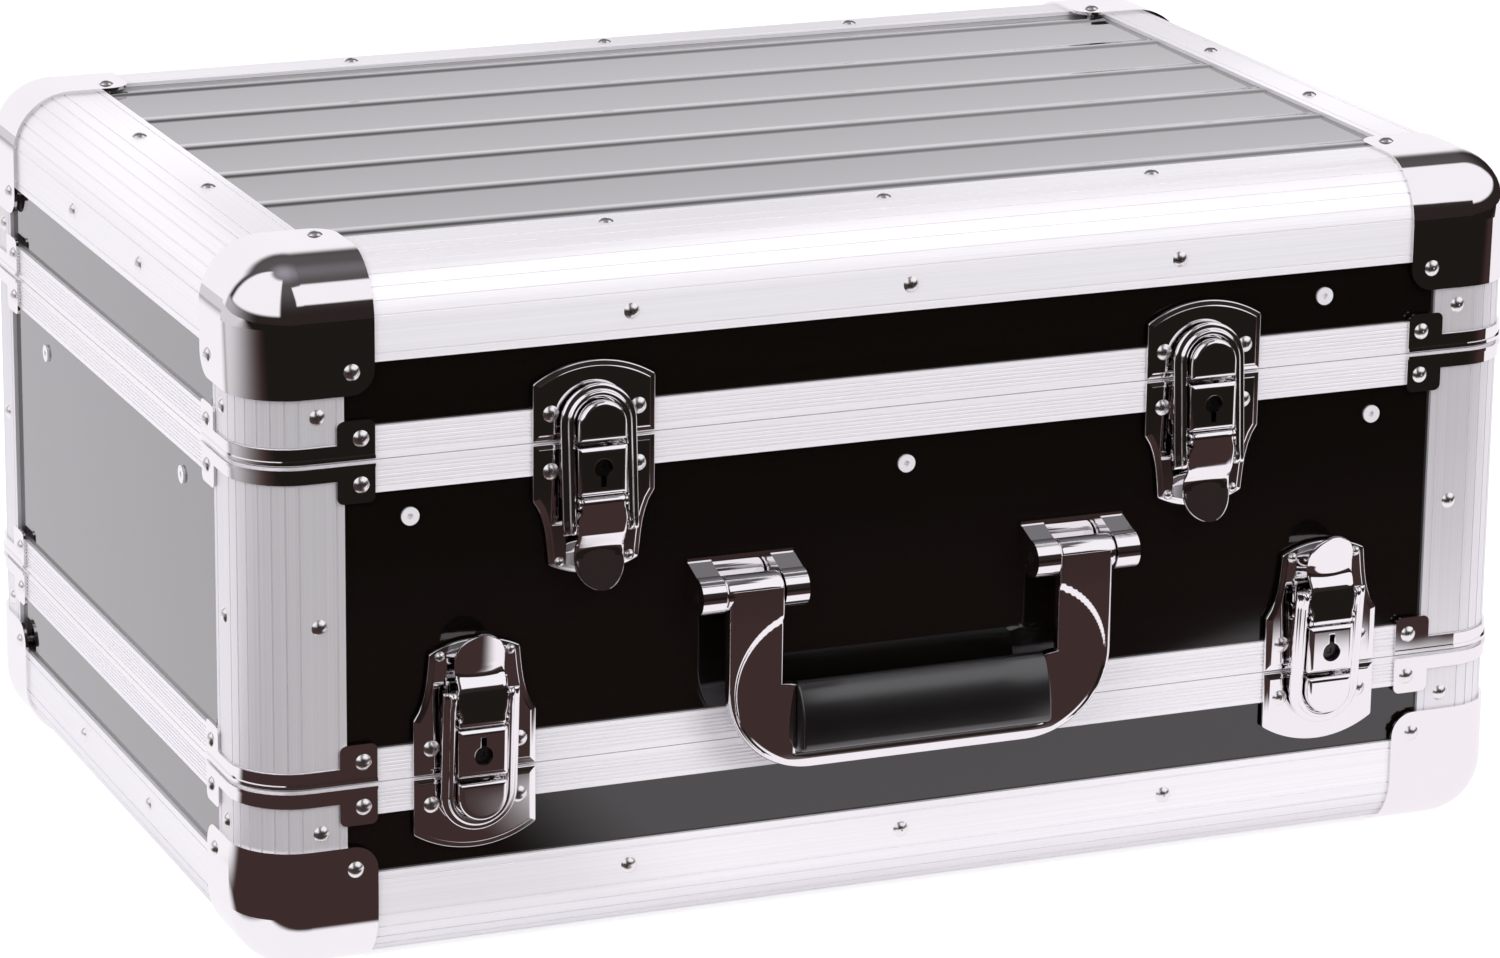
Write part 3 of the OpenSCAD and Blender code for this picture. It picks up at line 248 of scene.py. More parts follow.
laminate, paint = new_paint("black_laminate")
x, y, z = paint.place()
grain = paint.noise(paint.vector(x * 6, y * 420, z * 420), 1.0, 4.0, 0.6)
cloud = paint.noise(paint.vector(x, y, z), 9.0)
tone = paint.mix(grain, (0.0018, 0.0013, 0.0010, 1), (0.0036, 0.0027, 0.0021, 1))
paint.surface(Base_Color=tone, Roughness=0.05 + 0.04 * cloud + 0.03 * grain, IOR=1.5,
              Coat_Weight=1.0, Coat_Roughness=0.03, Normal=paint.bump(grain, 0.00001))
finish(laminate, *[name for name in nodes if name.endswith("_board")])


# Top board: the lid's own board, of the same laminate. Six soft raised beads are pressed along it, steeper
# towards the front than towards the back, and end at the side flanges.
SHARP_EDGE, NO_SHARP_EDGE = math.radians(50), math.pi


def skin(shape, rings, closed_ends=True):
    """Adds a skin over rings of points."""
    rows = [[shape.verts.new(point) for point in ring] for ring in rings]
    for low_row, high_row in zip(rows, rows[1:]):
        for i in range(len(low_row)):
            j = (i + 1) % len(low_row)
            shape.faces.new((low_row[i], low_row[j], high_row[j], high_row[i]))
    if closed_ends:
        shape.faces.new(rows[0][::-1])
        shape.faces.new(rows[-1])
    return rows


def add_piece(name, shape, material, body, slot, *replaced, sharp=SHARP_EDGE):
    """Makes a piece that moves with the body and takes the place of these nodes of the frame."""
    bmesh.ops.recalc_face_normals(shape, faces=shape.faces[:])
    mesh = bpy.data.meshes.new(name)
    shape.to_mesh(mesh)
    shape.free()
    mesh.materials.append(material)
    mesh.shade_smooth()
    mesh.set_sharp_from_angle(angle=sharp)
    piece = bpy.data.objects.new(name, mesh)
    bpy.context.scene.collection.objects.link(piece)
    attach(piece, body)
    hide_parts(*replaced)
    return piece


BEADS, BEAD_PITCH, BEAD_OFFSET = 6, 0.0473, -0.0005
BEAD_NEAR, BEAD_FAR, BEAD_HEIGHT, BEAD_STEPS = 0.0046, 0.0080, 0.00068, 10
BEAD_END, BEAD_FOOT = 0.2137, 0.0011
BEAD_RUN_OUT = [(0.0, 0.0), (0.0006, 0.7), (0.0016, 1.0)]
low, high = [Vector(corner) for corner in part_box("lid_top_board")]
face_z = high.z - BEAD_FOOT


def board_profile(x, share):
    """The closed section of the board, with its beads at this share of their height."""
    section = [(low.y, low.z), (low.y, face_z)]
    for bead in range(BEADS):
        middle = (low.y + high.y) / 2 + (bead - (BEADS - 1) / 2) * BEAD_PITCH + BEAD_OFFSET
        for step in range(-BEAD_STEPS, BEAD_STEPS + 1):
            wave = 0.5 + 0.5 * math.cos(math.pi * step / BEAD_STEPS)
            reach = BEAD_NEAR if step < 0 else BEAD_FAR
            section.append((middle + step / BEAD_STEPS * reach, face_z + share * BEAD_HEIGHT * wave))
    section += [(high.y, face_z), (high.y, low.z)]
    return [(x, y, z) for y, z in section]


shape = bmesh.new()
left_end = [(-BEAD_END + along, share) for along, share in BEAD_RUN_OUT]
right_end = [(BEAD_END - along, share) for along, share in reversed(BEAD_RUN_OUT)]
skin(shape, [board_profile(x, share) for x, share in [(low.x, 0)] + left_end + right_end + [(high.x, 0)]])
add_piece("beaded_top_board", shape, laminate, "lid", "laminate", "lid_top_board")


# Profiles: extruded aluminium with a satin anodised skin. Drawing lines run along each bar, round the
# edge from one flange to the other, and spread what the bar mirrors across them.
CASE_MIDDLE_Y = 0.00845


def profile_finish(name, side_from, upright, metal):
    """Satin aluminium. side_from is how far from the middle of the width the bars along the depth begin."""
    material, paint = new_paint(name)
    x, y, z = paint.place()
    across, along = abs(x), abs(y - CASE_MIDDLE_Y)
    if upright:
        round_edge, run = across - along, z
    else:
        side = across > side_from
        round_edge = z - side * across - (1 - side) * along
        run = side * y + (1 - side) * x
    lines = paint.noise(paint.vector(round_edge * 1700, run * 2, 0), 1.0, 3.0, 0.6)
    tone = paint.mix(paint.ramp(lines, 0.3, 0.7), (0.885, 0.86, 0.895, 1), (0.95, 0.925, 0.96, 1))
    paint.surface(Base_Color=tone, Metallic=metal, Anisotropic=0.45 if upright else 0.85,
                  Roughness=(0.42 if upright else 0.34) + 0.08 * lines,
                  Anisotropic_Rotation=0.0 if upright else 0.25, Normal=paint.bump(lines, 0.000012))
    return material


finish(profile_finish("edge_aluminium", 0.2135, False, 0.4), "lid_edges", "base_edges")
finish(profile_finish("rim_aluminium", 0.2390, False, 0.4), "lid_rim", "middle_upper_rim", "middle_lower_rim",
       "base_rim")
finish(profile_finish("post_aluminium", 0.0, True, 0.64), "lid_posts", "middle_posts", "base_posts")


# Ball corners and corner straps: deep-drawn steel with polished chrome, riveted over the joints of the
# profiles.
def chrome_finish(name, tint, smooth):
    material, paint = new_paint(name)
    x, y, z = paint.place()
    point = paint.vector(x, y, z)
    smear = paint.noise(point, 38.0, 4.0, 0.6)
    ripple = paint.noise(point, 55.0, 1.0)
    tone = paint.mix(smear, tint, tuple(0.96 * part for part in tint[:3]) + (1,))
    paint.surface(Base_Color=tone, Metallic=1.0, Roughness=smooth + 0.02 * smear,
                  Normal=paint.bump(ripple, 0.00003))
    return material


chrome = chrome_finish("polished_chrome", (0.93, 0.91, 0.92, 1), 0.025)
finish(chrome, "lid_ball_corners", "base_ball_corners", "lid_corner_straps", "middle_corner_straps",
       "base_corner_straps")


def soften(width, *names):
    """Rounds the edges of the named pieces, as pressing and polishing do."""
    for name in names:
        rounding = nodes[name].modifiers.new("rounding", "BEVEL")
        rounding.width = width
        rounding.segments = 3
        rounding.limit_method = "ANGLE"
        rounding.angle_limit = SHARP_EDGE
        rounding.harden_normals = True


soften(0.0007, "lid_corner_straps", "middle_corner_straps", "base_corner_straps", "lid_ball_corners",
       "base_ball_corners")


# Rivets: nickel-plated domes through every profile, plate and corner. The pop rivets in the boards are
# plain aluminium with a hole in the middle.
rivet_metal = chrome_finish("nickel_rivets", (0.94, 0.92, 0.92, 1), 0.24)
finish(rivet_metal, "lid_rivets", "middle_rivets", "base_rivets")
pop_metal, paint = new_paint("pop_rivet_aluminium")
x, y, z = paint.place()
turned = paint.noise(paint.vector(x, y, z), 900.0, 2.0)
paint.surface(Base_Color=paint.mix(turned, (0.84, 0.82, 0.85, 1), (0.92, 0.90, 0.93, 1)), Metallic=0.35,
              Roughness=0.2 + 0.1 * turned, Normal=paint.bump(turned, 0.00001))
finish(pop_metal, "pop_rivets", "lid_pop_rivet")


# Draw latches: pressed and chromed steel. A catch plate with its raised catch sits on one side of the seam,
# a lever plate with a lock cover on the other. The lever draws the bail down behind the catch.
FRONT_Y = -157.55
MM = 0.001
UPPER = [(-121.7, 189.7, 1), (117.7, 189.7, 1)]
LOWER = [(-166.6, 71.2, -1), (170.6, 71.2, -1)]


def on_latch(latch):
    """Turns a place on a latch, in millimetres, into one in the scene: across it, from the seam towards the
    catch, and out of the front plane."""
    centre, seam, up = latch
    return lambda u, w, p: Vector((centre + u, FRONT_Y - p, seam + up * w)) * MM


def neighbours(corners):
    """Each corner of an outline, between the one before it and the one after it."""
    return zip(corners[-1:] + corners[:-1], corners, corners[1:] + corners[:1])


def rounded(corners, steps=5):
    """A closed outline with rounded corners, from corners of x, y and radius."""
    points = []
    for (ax, ay, _), (bx, by, r), (cx, cy, _) in neighbours(corners):
        if not r:
            points.append((bx, by))
            continue
        corner = Vector((bx, by))
        to_a, to_c = (Vector((ax, ay)) - corner).normalized(), (Vector((cx, cy)) - corner).normalized()
        half = to_a.angle(to_c) / 2
        centre = corner + (to_a + to_c).normalized() * r / math.sin(half)
        start = corner + to_a * r / math.tan(half) - centre
        turn = start.angle_signed(corner + to_c * r / math.tan(half) - centre)
        for step in range(steps + 1):
            angle = -turn * step / steps
            points.append((centre.x + start.x * math.cos(angle) - start.y * math.sin(angle),
                           centre.y + start.x * math.sin(angle) + start.y * math.cos(angle)))
    return points


def inset(corners, depth):
    """The rounded outline of these corners, moved inwards. Corners run against the clock."""
    moved = []
    for (ax, ay, _), (bx, by, r), (cx, cy, _) in neighbours(corners):
        before = Vector((ay - by, bx - ax)).normalized()
        after = Vector((by - cy, cx - bx)).normalized()
        middle = (before + after) / max(0.4, 1 + before.dot(after))
        moved.append((bx + middle.x * depth, by + middle.y * depth, max(0.06, r - depth) if r else 0))
    return rounded(moved)


def arc(cx, cy, r, start, end, steps):
    """Corners along an arc, by angle in degrees."""
    angles = [math.radians(start + (end - start) * step / steps) for step in range(steps + 1)]
    return [(cx + r * math.cos(angle), cy + r * math.sin(angle), 0) for angle in angles]


def pressing(shape, place, corners, steps, closed_ends=True):
    """A pressed form: the outline at each pair of inset and height."""
    rings = [[place(u, w, p) for u, w in inset(corners, depth)] for depth, p in steps]
    return skin(shape, rings, closed_ends)


PLATE_RIM = [(0, 0.05), (0, 0.86), (0.06, 1.03), (0.2, 1.16), (0.42, 1.25), (1.7, 1.37), (1.88, 1.42),
             (2.05, 1.5), (2.2, 1.57), (2.4, 1.6), (2.8, 1.6)]
TOP = 10.6


def rolled(foot, top, r):
    """Steps of a raised form with a flared foot and a rolled top edge."""
    steps = [(-0.5, foot), (-0.15, foot + 0.15), (0, foot + 0.6), (0, top - r)]
    for turn in (15, 30, 45, 60, 75, 90):
        angle = math.radians(turn)
        steps.append((r * (1 - math.cos(angle)), top - r + r * math.sin(angle)))
    return steps + [(r + 0.4, top)]


def broken_edges(inner, outer, across, deep):
    """Steps of a flat piece from its inner to its outer side, with the edges of both broken."""
    return (inner, deep), (inner + across, 0), (outer - across, 0), (outer, deep)


PLATE_HALF, CATCH_TALL, CATCH_ARCH_R = 23, 28.5, 41.29
half_arch = math.degrees(math.asin(PLATE_HALF / CATCH_ARCH_R))
arch = arc(0, CATCH_TALL - CATCH_ARCH_R, CATCH_ARCH_R, 90 - half_arch, 90 + half_arch, 22)
catch_outline = ([(-PLATE_HALF, 0.5, 0.5), (PLATE_HALF, 0.5, 0.5), (*arch[0][:2], 1.3)] + arch[1:-1]
                 + [(*arch[-1][:2], 1.3)])
boss_outline = [(-9.2, 1.2, 0.7), (9.2, 1.2, 0.7)] + arc(0, 6.6, 9.2, 0, 180, 28)
for height, latches, body in (("upper", UPPER, "lid"), ("lower", LOWER, "base")):
    shape = bmesh.new()
    for latch in latches:
        place = on_latch(latch)
        pressing(shape, place, catch_outline, PLATE_RIM)
        pressing(shape, place, boss_outline, rolled(1.55, TOP, 1.7))
    add_piece(f"{height}_catch_plates", shape, chrome, body, "chrome", f"{height}_catches")

TAIL_HALF, TAIL_LOW, TAIL_ARC_R = 17, -49.5, 35.75
side = [(PLATE_HALF, -21, 1.2), (20.9, -24.4, 0), (19.6, -27.8, 0), (18.6, -31.6, 0), (17.9, -36, 0),
        (17.4, -40.6, 0), (TAIL_HALF, -45.2, 1.2)]
tail_turn = math.degrees(math.asin(TAIL_HALF / TAIL_ARC_R))
tail_arc = arc(0, TAIL_ARC_R + TAIL_LOW, TAIL_ARC_R, 270 - tail_turn, 270 + tail_turn, 16)
plate_outline = ([(-u, w, r) for u, w, r in side] + tail_arc[1:-1] + side[::-1]
                 + [(PLATE_HALF, -0.5, 0.5), (-PLATE_HALF, -0.5, 0.5)])
ear_outline = [(-18.75, 1.4, 0)] + arc(-21.2, 9, 2.1, 0, 180, 10) + [(-24.4, 1.4, 0)]
cover_outline = [(-9.3, -18.6, 0.6), (9.3, -18.6, 0.6), (9.3, -0.8, 0.6), (-9.3, -0.8, 0.6)]
KEY_R, KEY_SLOT_HALF = 3.4, 1
slot_turn = math.degrees(math.asin(KEY_SLOT_HALF / KEY_R))
keyhole = ([(-KEY_SLOT_HALF, -15.4, 0.3), (KEY_SLOT_HALF, -15.4, 0.3)]
           + arc(0, -8.6, KEY_R, slot_turn - 90, 270 - slot_turn, 24))
COVER_STEPS = [(-0.3, 1.55), (-0.1, 1.7), (0, 2.15), (0, 9.45), (0.05, 9.7), (0.2, 9.9), (1.15, 10.42),
               (1.4, 10.53), (1.7, TOP), (2.1, TOP)]
KEYHOLE_STEPS = [(-0.45, TOP), (-0.15, TOP), (-0.04, TOP - 0.03), (0, TOP - 0.15), (0, 7.65)]
plates, covers = bmesh.new(), bmesh.new()
for latch in UPPER + LOWER:
    place = on_latch(latch)
    pressing(plates, place, plate_outline, PLATE_RIM)
    for inner, outer in ((8.3, 9.3), (-9.3, -8.3)):
        skin(plates, [[place(u, w, p) for w, p in inset(ear_outline, depth)]
                      for u, depth in broken_edges(inner, outer, 0.2, 0.25)])
    walls = pressing(covers, place, cover_outline, COVER_STEPS, False)
    hole = pressing(covers, place, keyhole, KEYHOLE_STEPS, False)
    covers.faces.new(walls[0])
    covers.faces.new(hole[-1])
    # Every face inside each keyhole, its walls and its floor, takes the second material. That material is a
    # near-black steel: painted shade in the hole.
    inside = {point for row in hole[3:] for point in row}
    for face in covers.faces:
        if inside.issuperset(face.verts):
            face.material_index = 1
    face_rings = (walls[-1], hole[0])
    loops = [covers.edges.get((ring[i - 1], ring[i])) for ring in face_rings for i in range(len(ring))]
    bmesh.ops.triangle_fill(covers, edges=loops, use_beauty=True)
add_piece("lever_plate_pressings", plates, chrome, "middle", "chrome", "lever_plates")
# The near-black steel inside the keyholes and on the lock cores is painted shade. It stands in for the dark
# of the hole.
keyhole_shade_steel = chrome_finish("keyhole_painted_shade", (0.10, 0.09, 0.09, 1), 0.3)
cover_piece = add_piece("lock_cover_pressings", covers, chrome, "middle", "chrome", "lock_covers")
cover_piece.data.materials.append(keyhole_shade_steel)
finish(keyhole_shade_steel, "lock_cores")


# Levers and bails: each lever is one folded strip with a rolled heel round its pin, a hollow bend and a
# crowned thumb tab with a round end. Its cheeks carry the bail, a cast ring with a raised inner half.
def smooth_line(points, steps):
    """A curve through the points."""
    line = []
    padded = [points[0]] + points + [points[-1]]
    for a, b, c, d in zip(padded, padded[1:], padded[2:], padded[3:]):
        for step in range(steps):
            t = step / steps
            line.append(tuple(0.5 * (2 * q + (r - p) * t + (2 * p - 5 * q + 4 * r - s) * t * t
                                     + (3 * q - p - 3 * r + s) * t ** 3) for p, q, r, s in zip(a, b, c, d)))
    return line + [points[-1]]


SHEET, EDGE_FROM, EDGE_WIDTH, EDGE_DROP = 1.2, 0.9, 0.1, 0.3
CROWN, CROWN_FROM, CROWN_RUN = 1.6, 15, 6
PIVOT_W, PIVOT_P = -21.2, 9.0
HEEL_R, HEEL_HALF = 2.2, 8.05
TAB_S, TAB_P, TAB_R, TAB_RISE = 22.9, -0.2, 9.3, 2.35
heel_angles = [math.radians(turn) for turn in (-120, -90, -60, -30, 0, 20, 40, 60, 75)]
heel = [(-HEEL_R * math.cos(angle), HEEL_R * math.sin(angle), HEEL_HALF) for angle in heel_angles]
strip = smooth_line([(0, HEEL_R, HEEL_HALF), (2.0, 1.98, 8.2), (4.5, 1.68, 8.9), (7.5, 1.32, 9.25),
                     (10.4, 0.98, 9.0), (12.2, 0.66, 8.9), (13.8, -0.05, 8.9), (15.4, -0.95, 9.0),
                     (16.8, -1.5, 9.1), (18.4, -1.35, 9.2), (20.4, -0.85, 9.3), (TAB_S, TAB_P, TAB_R)], 4)
tip_angles = [math.radians(turn) for turn in (8, 16, 24, 32, 40, 48, 56, 64, 71, 77, 82, 86, 88.5)]
tip = [(TAB_S + TAB_R * math.sin(angle), TAB_P + TAB_RISE * math.sin(angle), TAB_R * math.cos(angle))
       for angle in tip_angles]
line = heel + strip[:-1] + tip
ACROSS = (-1, -0.96, -0.85, -0.65, -0.4, -0.15, 0.15, 0.4, 0.65, 0.85, 0.96, 1)
cheek_outline = [(3.4, 0.6, 0.1), (3.4, -2.2, 0.9), (4.9, -3.1, 0.8), (10.6, -3.1, 0.8), (12, -2.0, 0.8),
                 (12, 0.3, 0.1)]


def lever_strip(place):
    """One lever, folded from its strip, with a cheek at each side."""
    shape = bmesh.new()
    rings = []
    for i, (s, p, half) in enumerate(line):
        s0, p0, _ = line[max(0, i - 1)]
        s1, p1, _ = line[min(len(line) - 1, i + 1)]
        out = Vector((p0 - p1, s1 - s0)).normalized()
        crown = CROWN * min(1.0, max(0.0, (s - CROWN_FROM) / CROWN_RUN))
        face, back = [], []
        for share in ACROSS:
            edge = max(0.0, abs(share) - EDGE_FROM) / EDGE_WIDTH
            drop = crown * (share * half / TAB_R) ** 2 + EDGE_DROP * edge ** 2
            under = SHEET - EDGE_DROP * edge ** 2
            u = share * half
            face.append(place(u, PIVOT_W - s, PIVOT_P + p - drop))
            back.append(place(u, PIVOT_W - s + out.x * under, PIVOT_P + p - drop - out.y * under))
        rings.append(face + back[::-1])
    skin(shape, rings)
    for inner, outer in ((7.9, 9.1), (-9.1, -7.9)):
        skin(shape, [[place(u, PIVOT_W - s, PIVOT_P + p) for s, p in inset(cheek_outline, depth)]
                     for u, depth in broken_edges(inner, outer, 0.25, 0.3)])
    return shape


BAIL_W, BAIL_P, BAIL_SLOPE, BAIL_ARCH = -30.0, 7.9, math.radians(4.3), 36.7
STUD_INNER, STUD_OUTER, STUD_SIDES = 9.0, 10.5, 16
ring_section = [(9.8, -1.0), (9.8, 1.5), (9.88, 1.9), (10.1, 2.2), (10.5, 2.35), (11.0, 2.35), (11.45, 2.25),
                (11.75, 1.95), (11.95, 1.55), (12.15, 1.25), (12.5, 1.1), (13.2, 1.07), (13.7, 1.0),
                (14.1, 0.75), (14.33, 0.35), (14.4, -0.1), (14.3, -0.6), (14.0, -0.92), (13.6, -1.05),
                (10.1, -1.05)]
leg = [(-2.6, 0.35), (-2.45, 0.62), (-2.1, 0.88), (-1.5, 1.08), (-0.7, 1.2), (0.3, 1.22), (1.3, 1.14),
       (2.3, 1.0), (4, 0.97), (8, 0.98), (14, 1), (22, 1), (30, 1), (34, 1)]


def bail_ring(place):
    """One bail: two legs and the arch between them, with a stud in each leg that turns in a cheek."""
    def on_bail(u, along, rise):
        return place(u, BAIL_W + along * math.cos(BAIL_SLOPE) + rise * math.sin(BAIL_SLOPE),
                     BAIL_P - along * math.sin(BAIL_SLOPE) + rise * math.cos(BAIL_SLOPE))

    shape = bmesh.new()
    rings = [[on_bail(r, along, rise * size) for r, rise in ring_section] for along, size in leg]
    for turn in range(0, 181, 6):
        angle = math.radians(turn)
        rings.append([on_bail(r * math.cos(angle), BAIL_ARCH + r * math.sin(angle), rise)
                      for r, rise in ring_section])
    rings += [[on_bail(-r, along, rise * size) for r, rise in ring_section] for along, size in leg[::-1]]
    skin(shape, rings)
    angles = [2 * math.pi * turn / STUD_SIDES for turn in range(STUD_SIDES)]
    for sign in (-1, 1):
        skin(shape, [[on_bail(sign * u, math.cos(angle), math.sin(angle)) for angle in angles]
                     for u in (STUD_INNER, STUD_OUTER)])
    return shape


for height, latches in (("upper", UPPER), ("lower", LOWER)):
    for side_name, latch in zip(("left", "right"), latches):
        place = on_latch(latch)
        latch_name = f"{height}_{side_name}"
        add_piece(f"{latch_name}_lever_strip", lever_strip(place), chrome, f"{latch_name}_lever_body",
                  "chrome", f"{latch_name}_lever")
        add_piece(f"{latch_name}_bail_ring", bail_ring(place), chrome, f"{latch_name}_bail_body", "chrome",
                  f"{latch_name}_bail")


# Handle: two cast mounts, and a chromed bow with flat arms that swings in them on rolled barrels. The bow's
# lower part is set back inside an arc on each arm. A rubber grip is moulded over its middle.
HANDLE_Z, PIVOT_OUT = 129.8, 10.5
BOW_HALF, BOW_R, BAR_LOW, BAR_TOP = 75.5, 33.0, -68.0, -61.7
ARM_INNER, ARM_TOP, ARM_END, ARM_STEPS = 54.4, 2.0, -34.7, 26
FACE, BACK, BACK_BREAK, BACK_IN = 6.5, 1.0, 0.6, 0.5
SET_BACK, SET_BACK_FROM, SET_BACK_RUN = 1.0, 0.3, 1.3
SWEEP_X, SWEEP_Y, SWEEP_R = 44.0, -37.0, 29.5
ARM_ROLL, BAR_ROLL, ARM_LIP, BAR_LIP = 1.7, 4.0, 1.0, 1.8
ARM_ROLL_DEEP, BAR_ROLL_DEEP, LIP_DEEP = 1.7, 2.6, 1.0
FLAT_STEPS = 34
ROLL_PARTS = (0.0, 0.03, 0.1, 0.2, 0.33, 0.48, 0.65, 0.82, 1.0)
LIP_PARTS = (0.7, 0.45, 0.25, 0.1, 0.02, 0.0)


def on_handle(x, y, out):
    """A place on the handle in millimetres, from the middle of its pivot line, in the scene."""
    return Vector((x, FRONT_Y - PIVOT_OUT - out, HANDLE_Z + y)) * MM


def bow_face(x, y, down):
    """How far the bow's face stands out, with the part inside the arcs set back."""
    past = math.hypot(max(0.0, abs(x) - SWEEP_X), y - SWEEP_Y) - SWEEP_R
    inside = min(1.0, max(0.0, (SET_BACK_FROM - past) / SET_BACK_RUN))
    share = max(inside * inside * (3 - 2 * inside), down * down)
    return FACE - SET_BACK * share


def bow_ring(outer, inner, down):
    """The section of the bow between its outer and its inner edge. Down is 0 on the arms and 1 on the bar,
    where the rolled edge is widest."""
    outer, inner = Vector(outer), Vector(inner)
    width = (inner - outer).length
    roll = ARM_ROLL + (BAR_ROLL - ARM_ROLL) * down
    lip = ARM_LIP + (BAR_LIP - ARM_LIP) * down
    roll_deep = ARM_ROLL_DEEP + (BAR_ROLL_DEEP - ARM_ROLL_DEEP) * down
    flat = width - roll - lip
    places = [roll * part for part in ROLL_PARTS]
    places += [roll + flat * step / FLAT_STEPS for step in range(1, FLAT_STEPS + 1)]
    places += [width - lip * part for part in LIP_PARTS]
    ring = [(BACK_IN, BACK), (0.0, BACK + BACK_BREAK)]
    for along in places:
        x, y = outer + (inner - outer) * along / width
        fall = 0.0
        for edge, r, deep in ((along, roll, roll_deep), (width - along, lip, LIP_DEEP)):
            if edge < r:
                fall += deep * (1 - math.sqrt(max(0.0, 1 - (1 - edge / r) ** 2)))
        ring.append((along, bow_face(x, y, down) - fall))
    ring += [(width, BACK + BACK_BREAK), (width - BACK_IN, BACK)]
    return [on_handle(*(outer + (inner - outer) * along / width), out) for along, out in ring]


def inner_edge(step):
    """The inner edge round the bend, in steps of two degrees: in towards the grip, down beside it, and along
    the bar."""
    if step < 4:
        return ARM_INNER - 1.8 * step, ARM_END - 0.25 * step * step / 3
    if step < 33:
        return 49.0, -36.2 - 24.8 * (step - 4) / 28
    return 48.8 - 6.3 * (step - 33) / 12, BAR_TOP


def both_ends(half):
    """The steps along a piece from end to end, from those at one end."""
    return [(-x, size) for x, size in half] + half[::-1]


arm_heights = [ARM_TOP - (ARM_TOP - ARM_END) * step / ARM_STEPS for step in range(ARM_STEPS + 1)]
half_bow = [((BOW_HALF, y), (ARM_INNER, y), 0.0) for y in arm_heights]
for step in range(1, 46):
    turn = math.radians(2 * step)
    outer = (BOW_HALF - BOW_R + BOW_R * math.cos(turn), BAR_LOW + BOW_R - BOW_R * math.sin(turn))
    half_bow.append((outer, inner_edge(step), math.sin(turn)))
half_bow += [((x, BAR_LOW), (x, BAR_TOP), 1.0) for x in (36, 28, 20, 12, 4)]
pairs = half_bow + [((-ox, oy), (-ix, iy), down) for (ox, oy), (ix, iy), down in reversed(half_bow)]
shape = bmesh.new()
skin(shape, [bow_ring(*pair) for pair in pairs])
BARREL_X, BARREL_SIDES = 65.6, 48
BARREL_END = [(11.2, 5.6), (11.1, 5.95), (10.8, 6.25), (10.3, 6.42), (9.6, 6.5)]
angles = [2 * math.pi * turn / BARREL_SIDES for turn in range(BARREL_SIDES)]
for middle in (-BARREL_X, BARREL_X):
    skin(shape, [[on_handle(middle + x, r * math.sin(angle), r * math.cos(angle)) for angle in angles]
                 for x, r in both_ends(BARREL_END)])
add_piece("handle_bow", shape, chrome, "handle", "chrome", "handle_frame")

finish(chrome, "handle_mounts")
soften(0.0009, "handle_mounts")
rubber, paint = new_paint("grip_rubber")
x, y, z = paint.place()
pores = paint.noise(paint.vector(x, y, z), 1600.0, 2.0)
worn = paint.noise(paint.vector(x, y, z), 30.0)
paint.surface(Base_Color=paint.mix(worn, (0.0016, 0.0014, 0.0016, 1), (0.0034, 0.003, 0.0034, 1)), IOR=1.9,
              Specular_IOR_Level=0.6, Roughness=0.26 + 0.05 * worn, Normal=paint.bump(pores, 0.00001))
GRIP_MIDDLE, GRIP_UP, GRIP_DOWN, GRIP_OUT, GRIP_DEPTH, GRIP_SIDES = -57.5, 22.7, 2.9, 3.7, 9.5, 48
GRIP_END = [(49.0, 1.0), (48.9, 0.55), (48.6, 0.2), (48.1, 0), (30, 0)]
shape = bmesh.new()
rings = []
for x, shrink in both_ends(GRIP_END):
    ring = []
    for turn in range(GRIP_SIDES):
        angle = 2 * math.pi * (turn + 0.5) / GRIP_SIDES
        tall = GRIP_UP if math.sin(angle) > 0 else GRIP_DOWN
        y = GRIP_MIDDLE + (tall - shrink) * math.sin(angle)
        ring.append(on_handle(x, y, GRIP_OUT + (GRIP_DEPTH - shrink) * math.cos(angle)))
    rings.append(ring)
skin(shape, rings)
add_piece("grip_sleeve", shape, rubber, "handle", "grip_rubber", "handle_grip")


# Hinges and pins: zinc-plated steel leaves riveted to the back, with three knuckles on each pin. The pins of
# the handle and of the levers are turned from the same steel.
zinc = chrome_finish("zinc_steel", (0.62, 0.62, 0.64, 1), 0.25)
finish(zinc, "lid_hinge_leaves", "middle_upper_leaves", "middle_lower_leaves", "base_hinge_leaves",
       "upper_hinge_pins", "lower_hinge_pins", "handle_pins", "lever_pins")


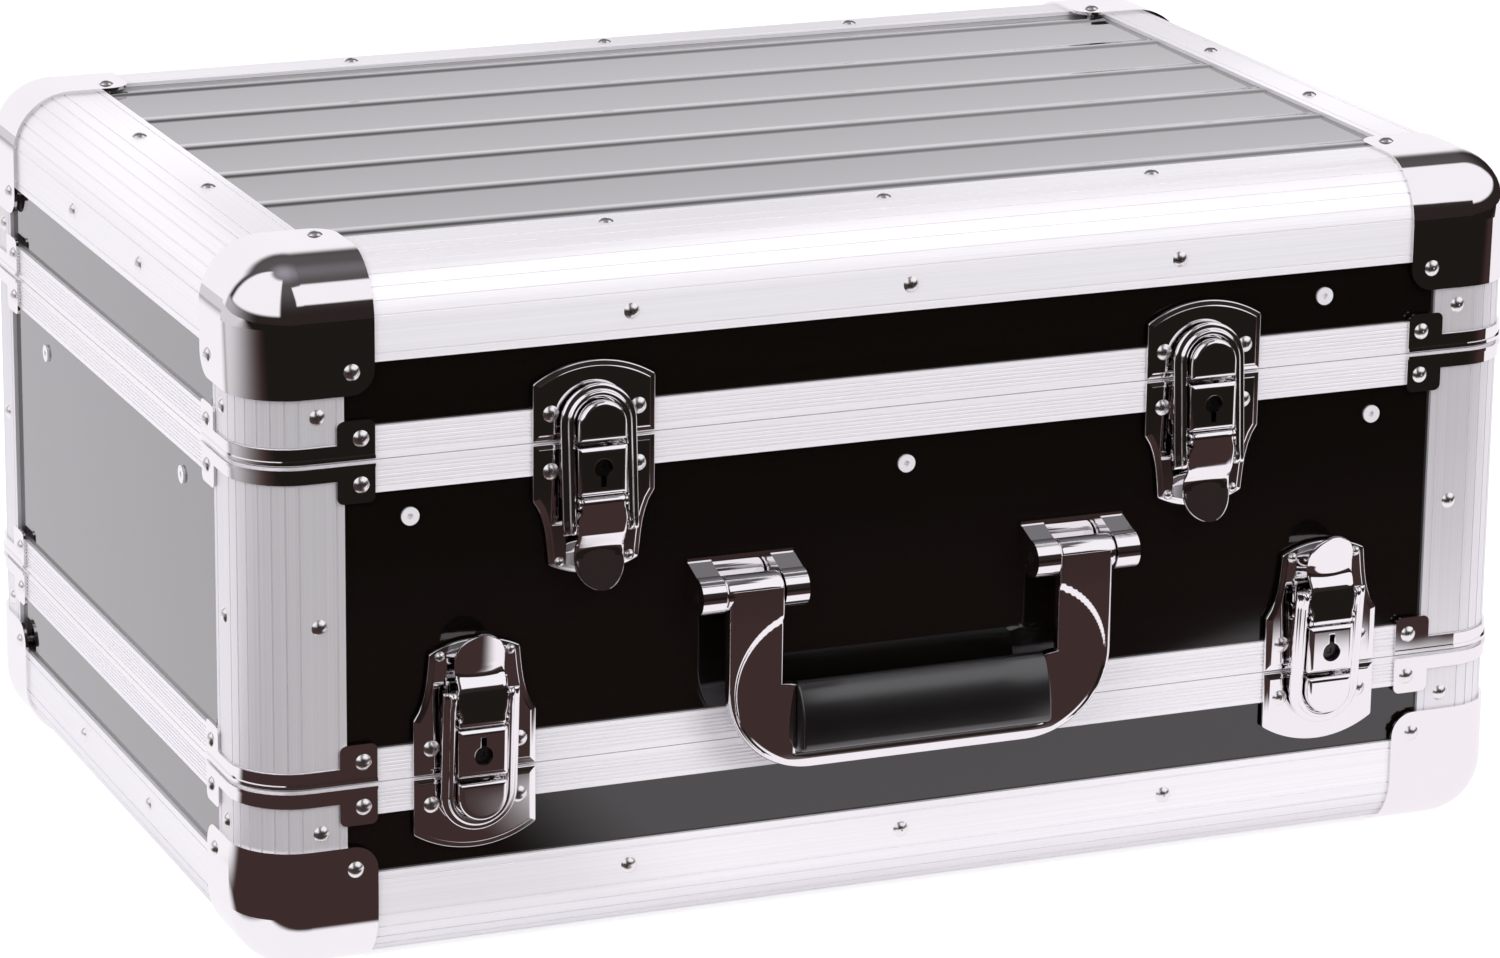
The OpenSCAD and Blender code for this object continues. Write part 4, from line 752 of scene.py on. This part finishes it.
# Battens: planed softwood strips inside the middle frame, held by the pop rivets through its boards. They
# carry the mixer.
wood, paint = new_paint("planed_softwood")
x, y, z = paint.place()
fibre = paint.noise(paint.vector(x * 12, y * 12, z * 260), 1.0, 5.0, 0.65)
paint.surface(Base_Color=paint.mix(fibre, (0.42, 0.27, 0.14, 1), (0.68, 0.50, 0.30, 1)),
              Roughness=0.55 + 0.2 * fibre, Normal=paint.bump(fibre, 0.0002))
finish(wood, "battens")


# Pads: dark foam cut from sheet, glued under the lid's top board and onto the floor of the base. The faces
# are slightly wavy and rounded at their edges.
foam, paint = new_paint("dark_foam")
x, y, z = paint.place()
cells = paint.noise(paint.vector(x, y, z), 900.0, 3.0, 0.7)
paint.surface(Base_Color=paint.mix(cells, (0.02, 0.02, 0.022, 1), (0.06, 0.06, 0.065, 1)), Roughness=0.95,
              Normal=paint.bump(cells, 0.0004))


PAD_EDGE, PAD_EDGE_DROP, PAD_SAG = 0.97, 0.004, 0.0006


def pad(name, node, up):
    """A foam pad in place of the frame's node, with its soft face up or down."""
    low, high = [Vector(corner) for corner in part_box(node)]
    shape = bmesh.new()
    bmesh.ops.create_grid(shape, x_segments=60, y_segments=40, size=0.5)
    face_z = high.z if up else low.z
    back_z = low.z if up else high.z
    for point in shape.verts:
        u, v = point.co.x * 2, point.co.y * 2
        edge = max(0.0, max(abs(u), abs(v)) - PAD_EDGE) / (1 - PAD_EDGE)
        sag = PAD_SAG * (1 + math.sin(9 * u + 2) * math.sin(7 * v + 1))
        point.co.x = (low.x + high.x) / 2 + u * (high.x - low.x) / 2
        point.co.y = (low.y + high.y) / 2 + v * (high.y - low.y) / 2
        point.co.z = face_z - (1 if up else -1) * (PAD_EDGE_DROP * edge ** 2 + sag)
    edges = [edge for edge in shape.edges if edge.is_boundary]
    walls = bmesh.ops.extrude_edge_only(shape, edges=edges)["geom"]
    for point in [part for part in walls if isinstance(part, bmesh.types.BMVert)]:
        point.co.z = back_z
    rim = [edge for edge in shape.edges if edge.is_boundary]
    bmesh.ops.contextual_create(shape, geom=rim)
    piece = add_piece(name, shape, foam, node.split("_")[0], "padding", node, sharp=NO_SHARP_EDGE)


pad("lid_foam", "lid_pad", False)
pad("base_foam", "base_pad", True)
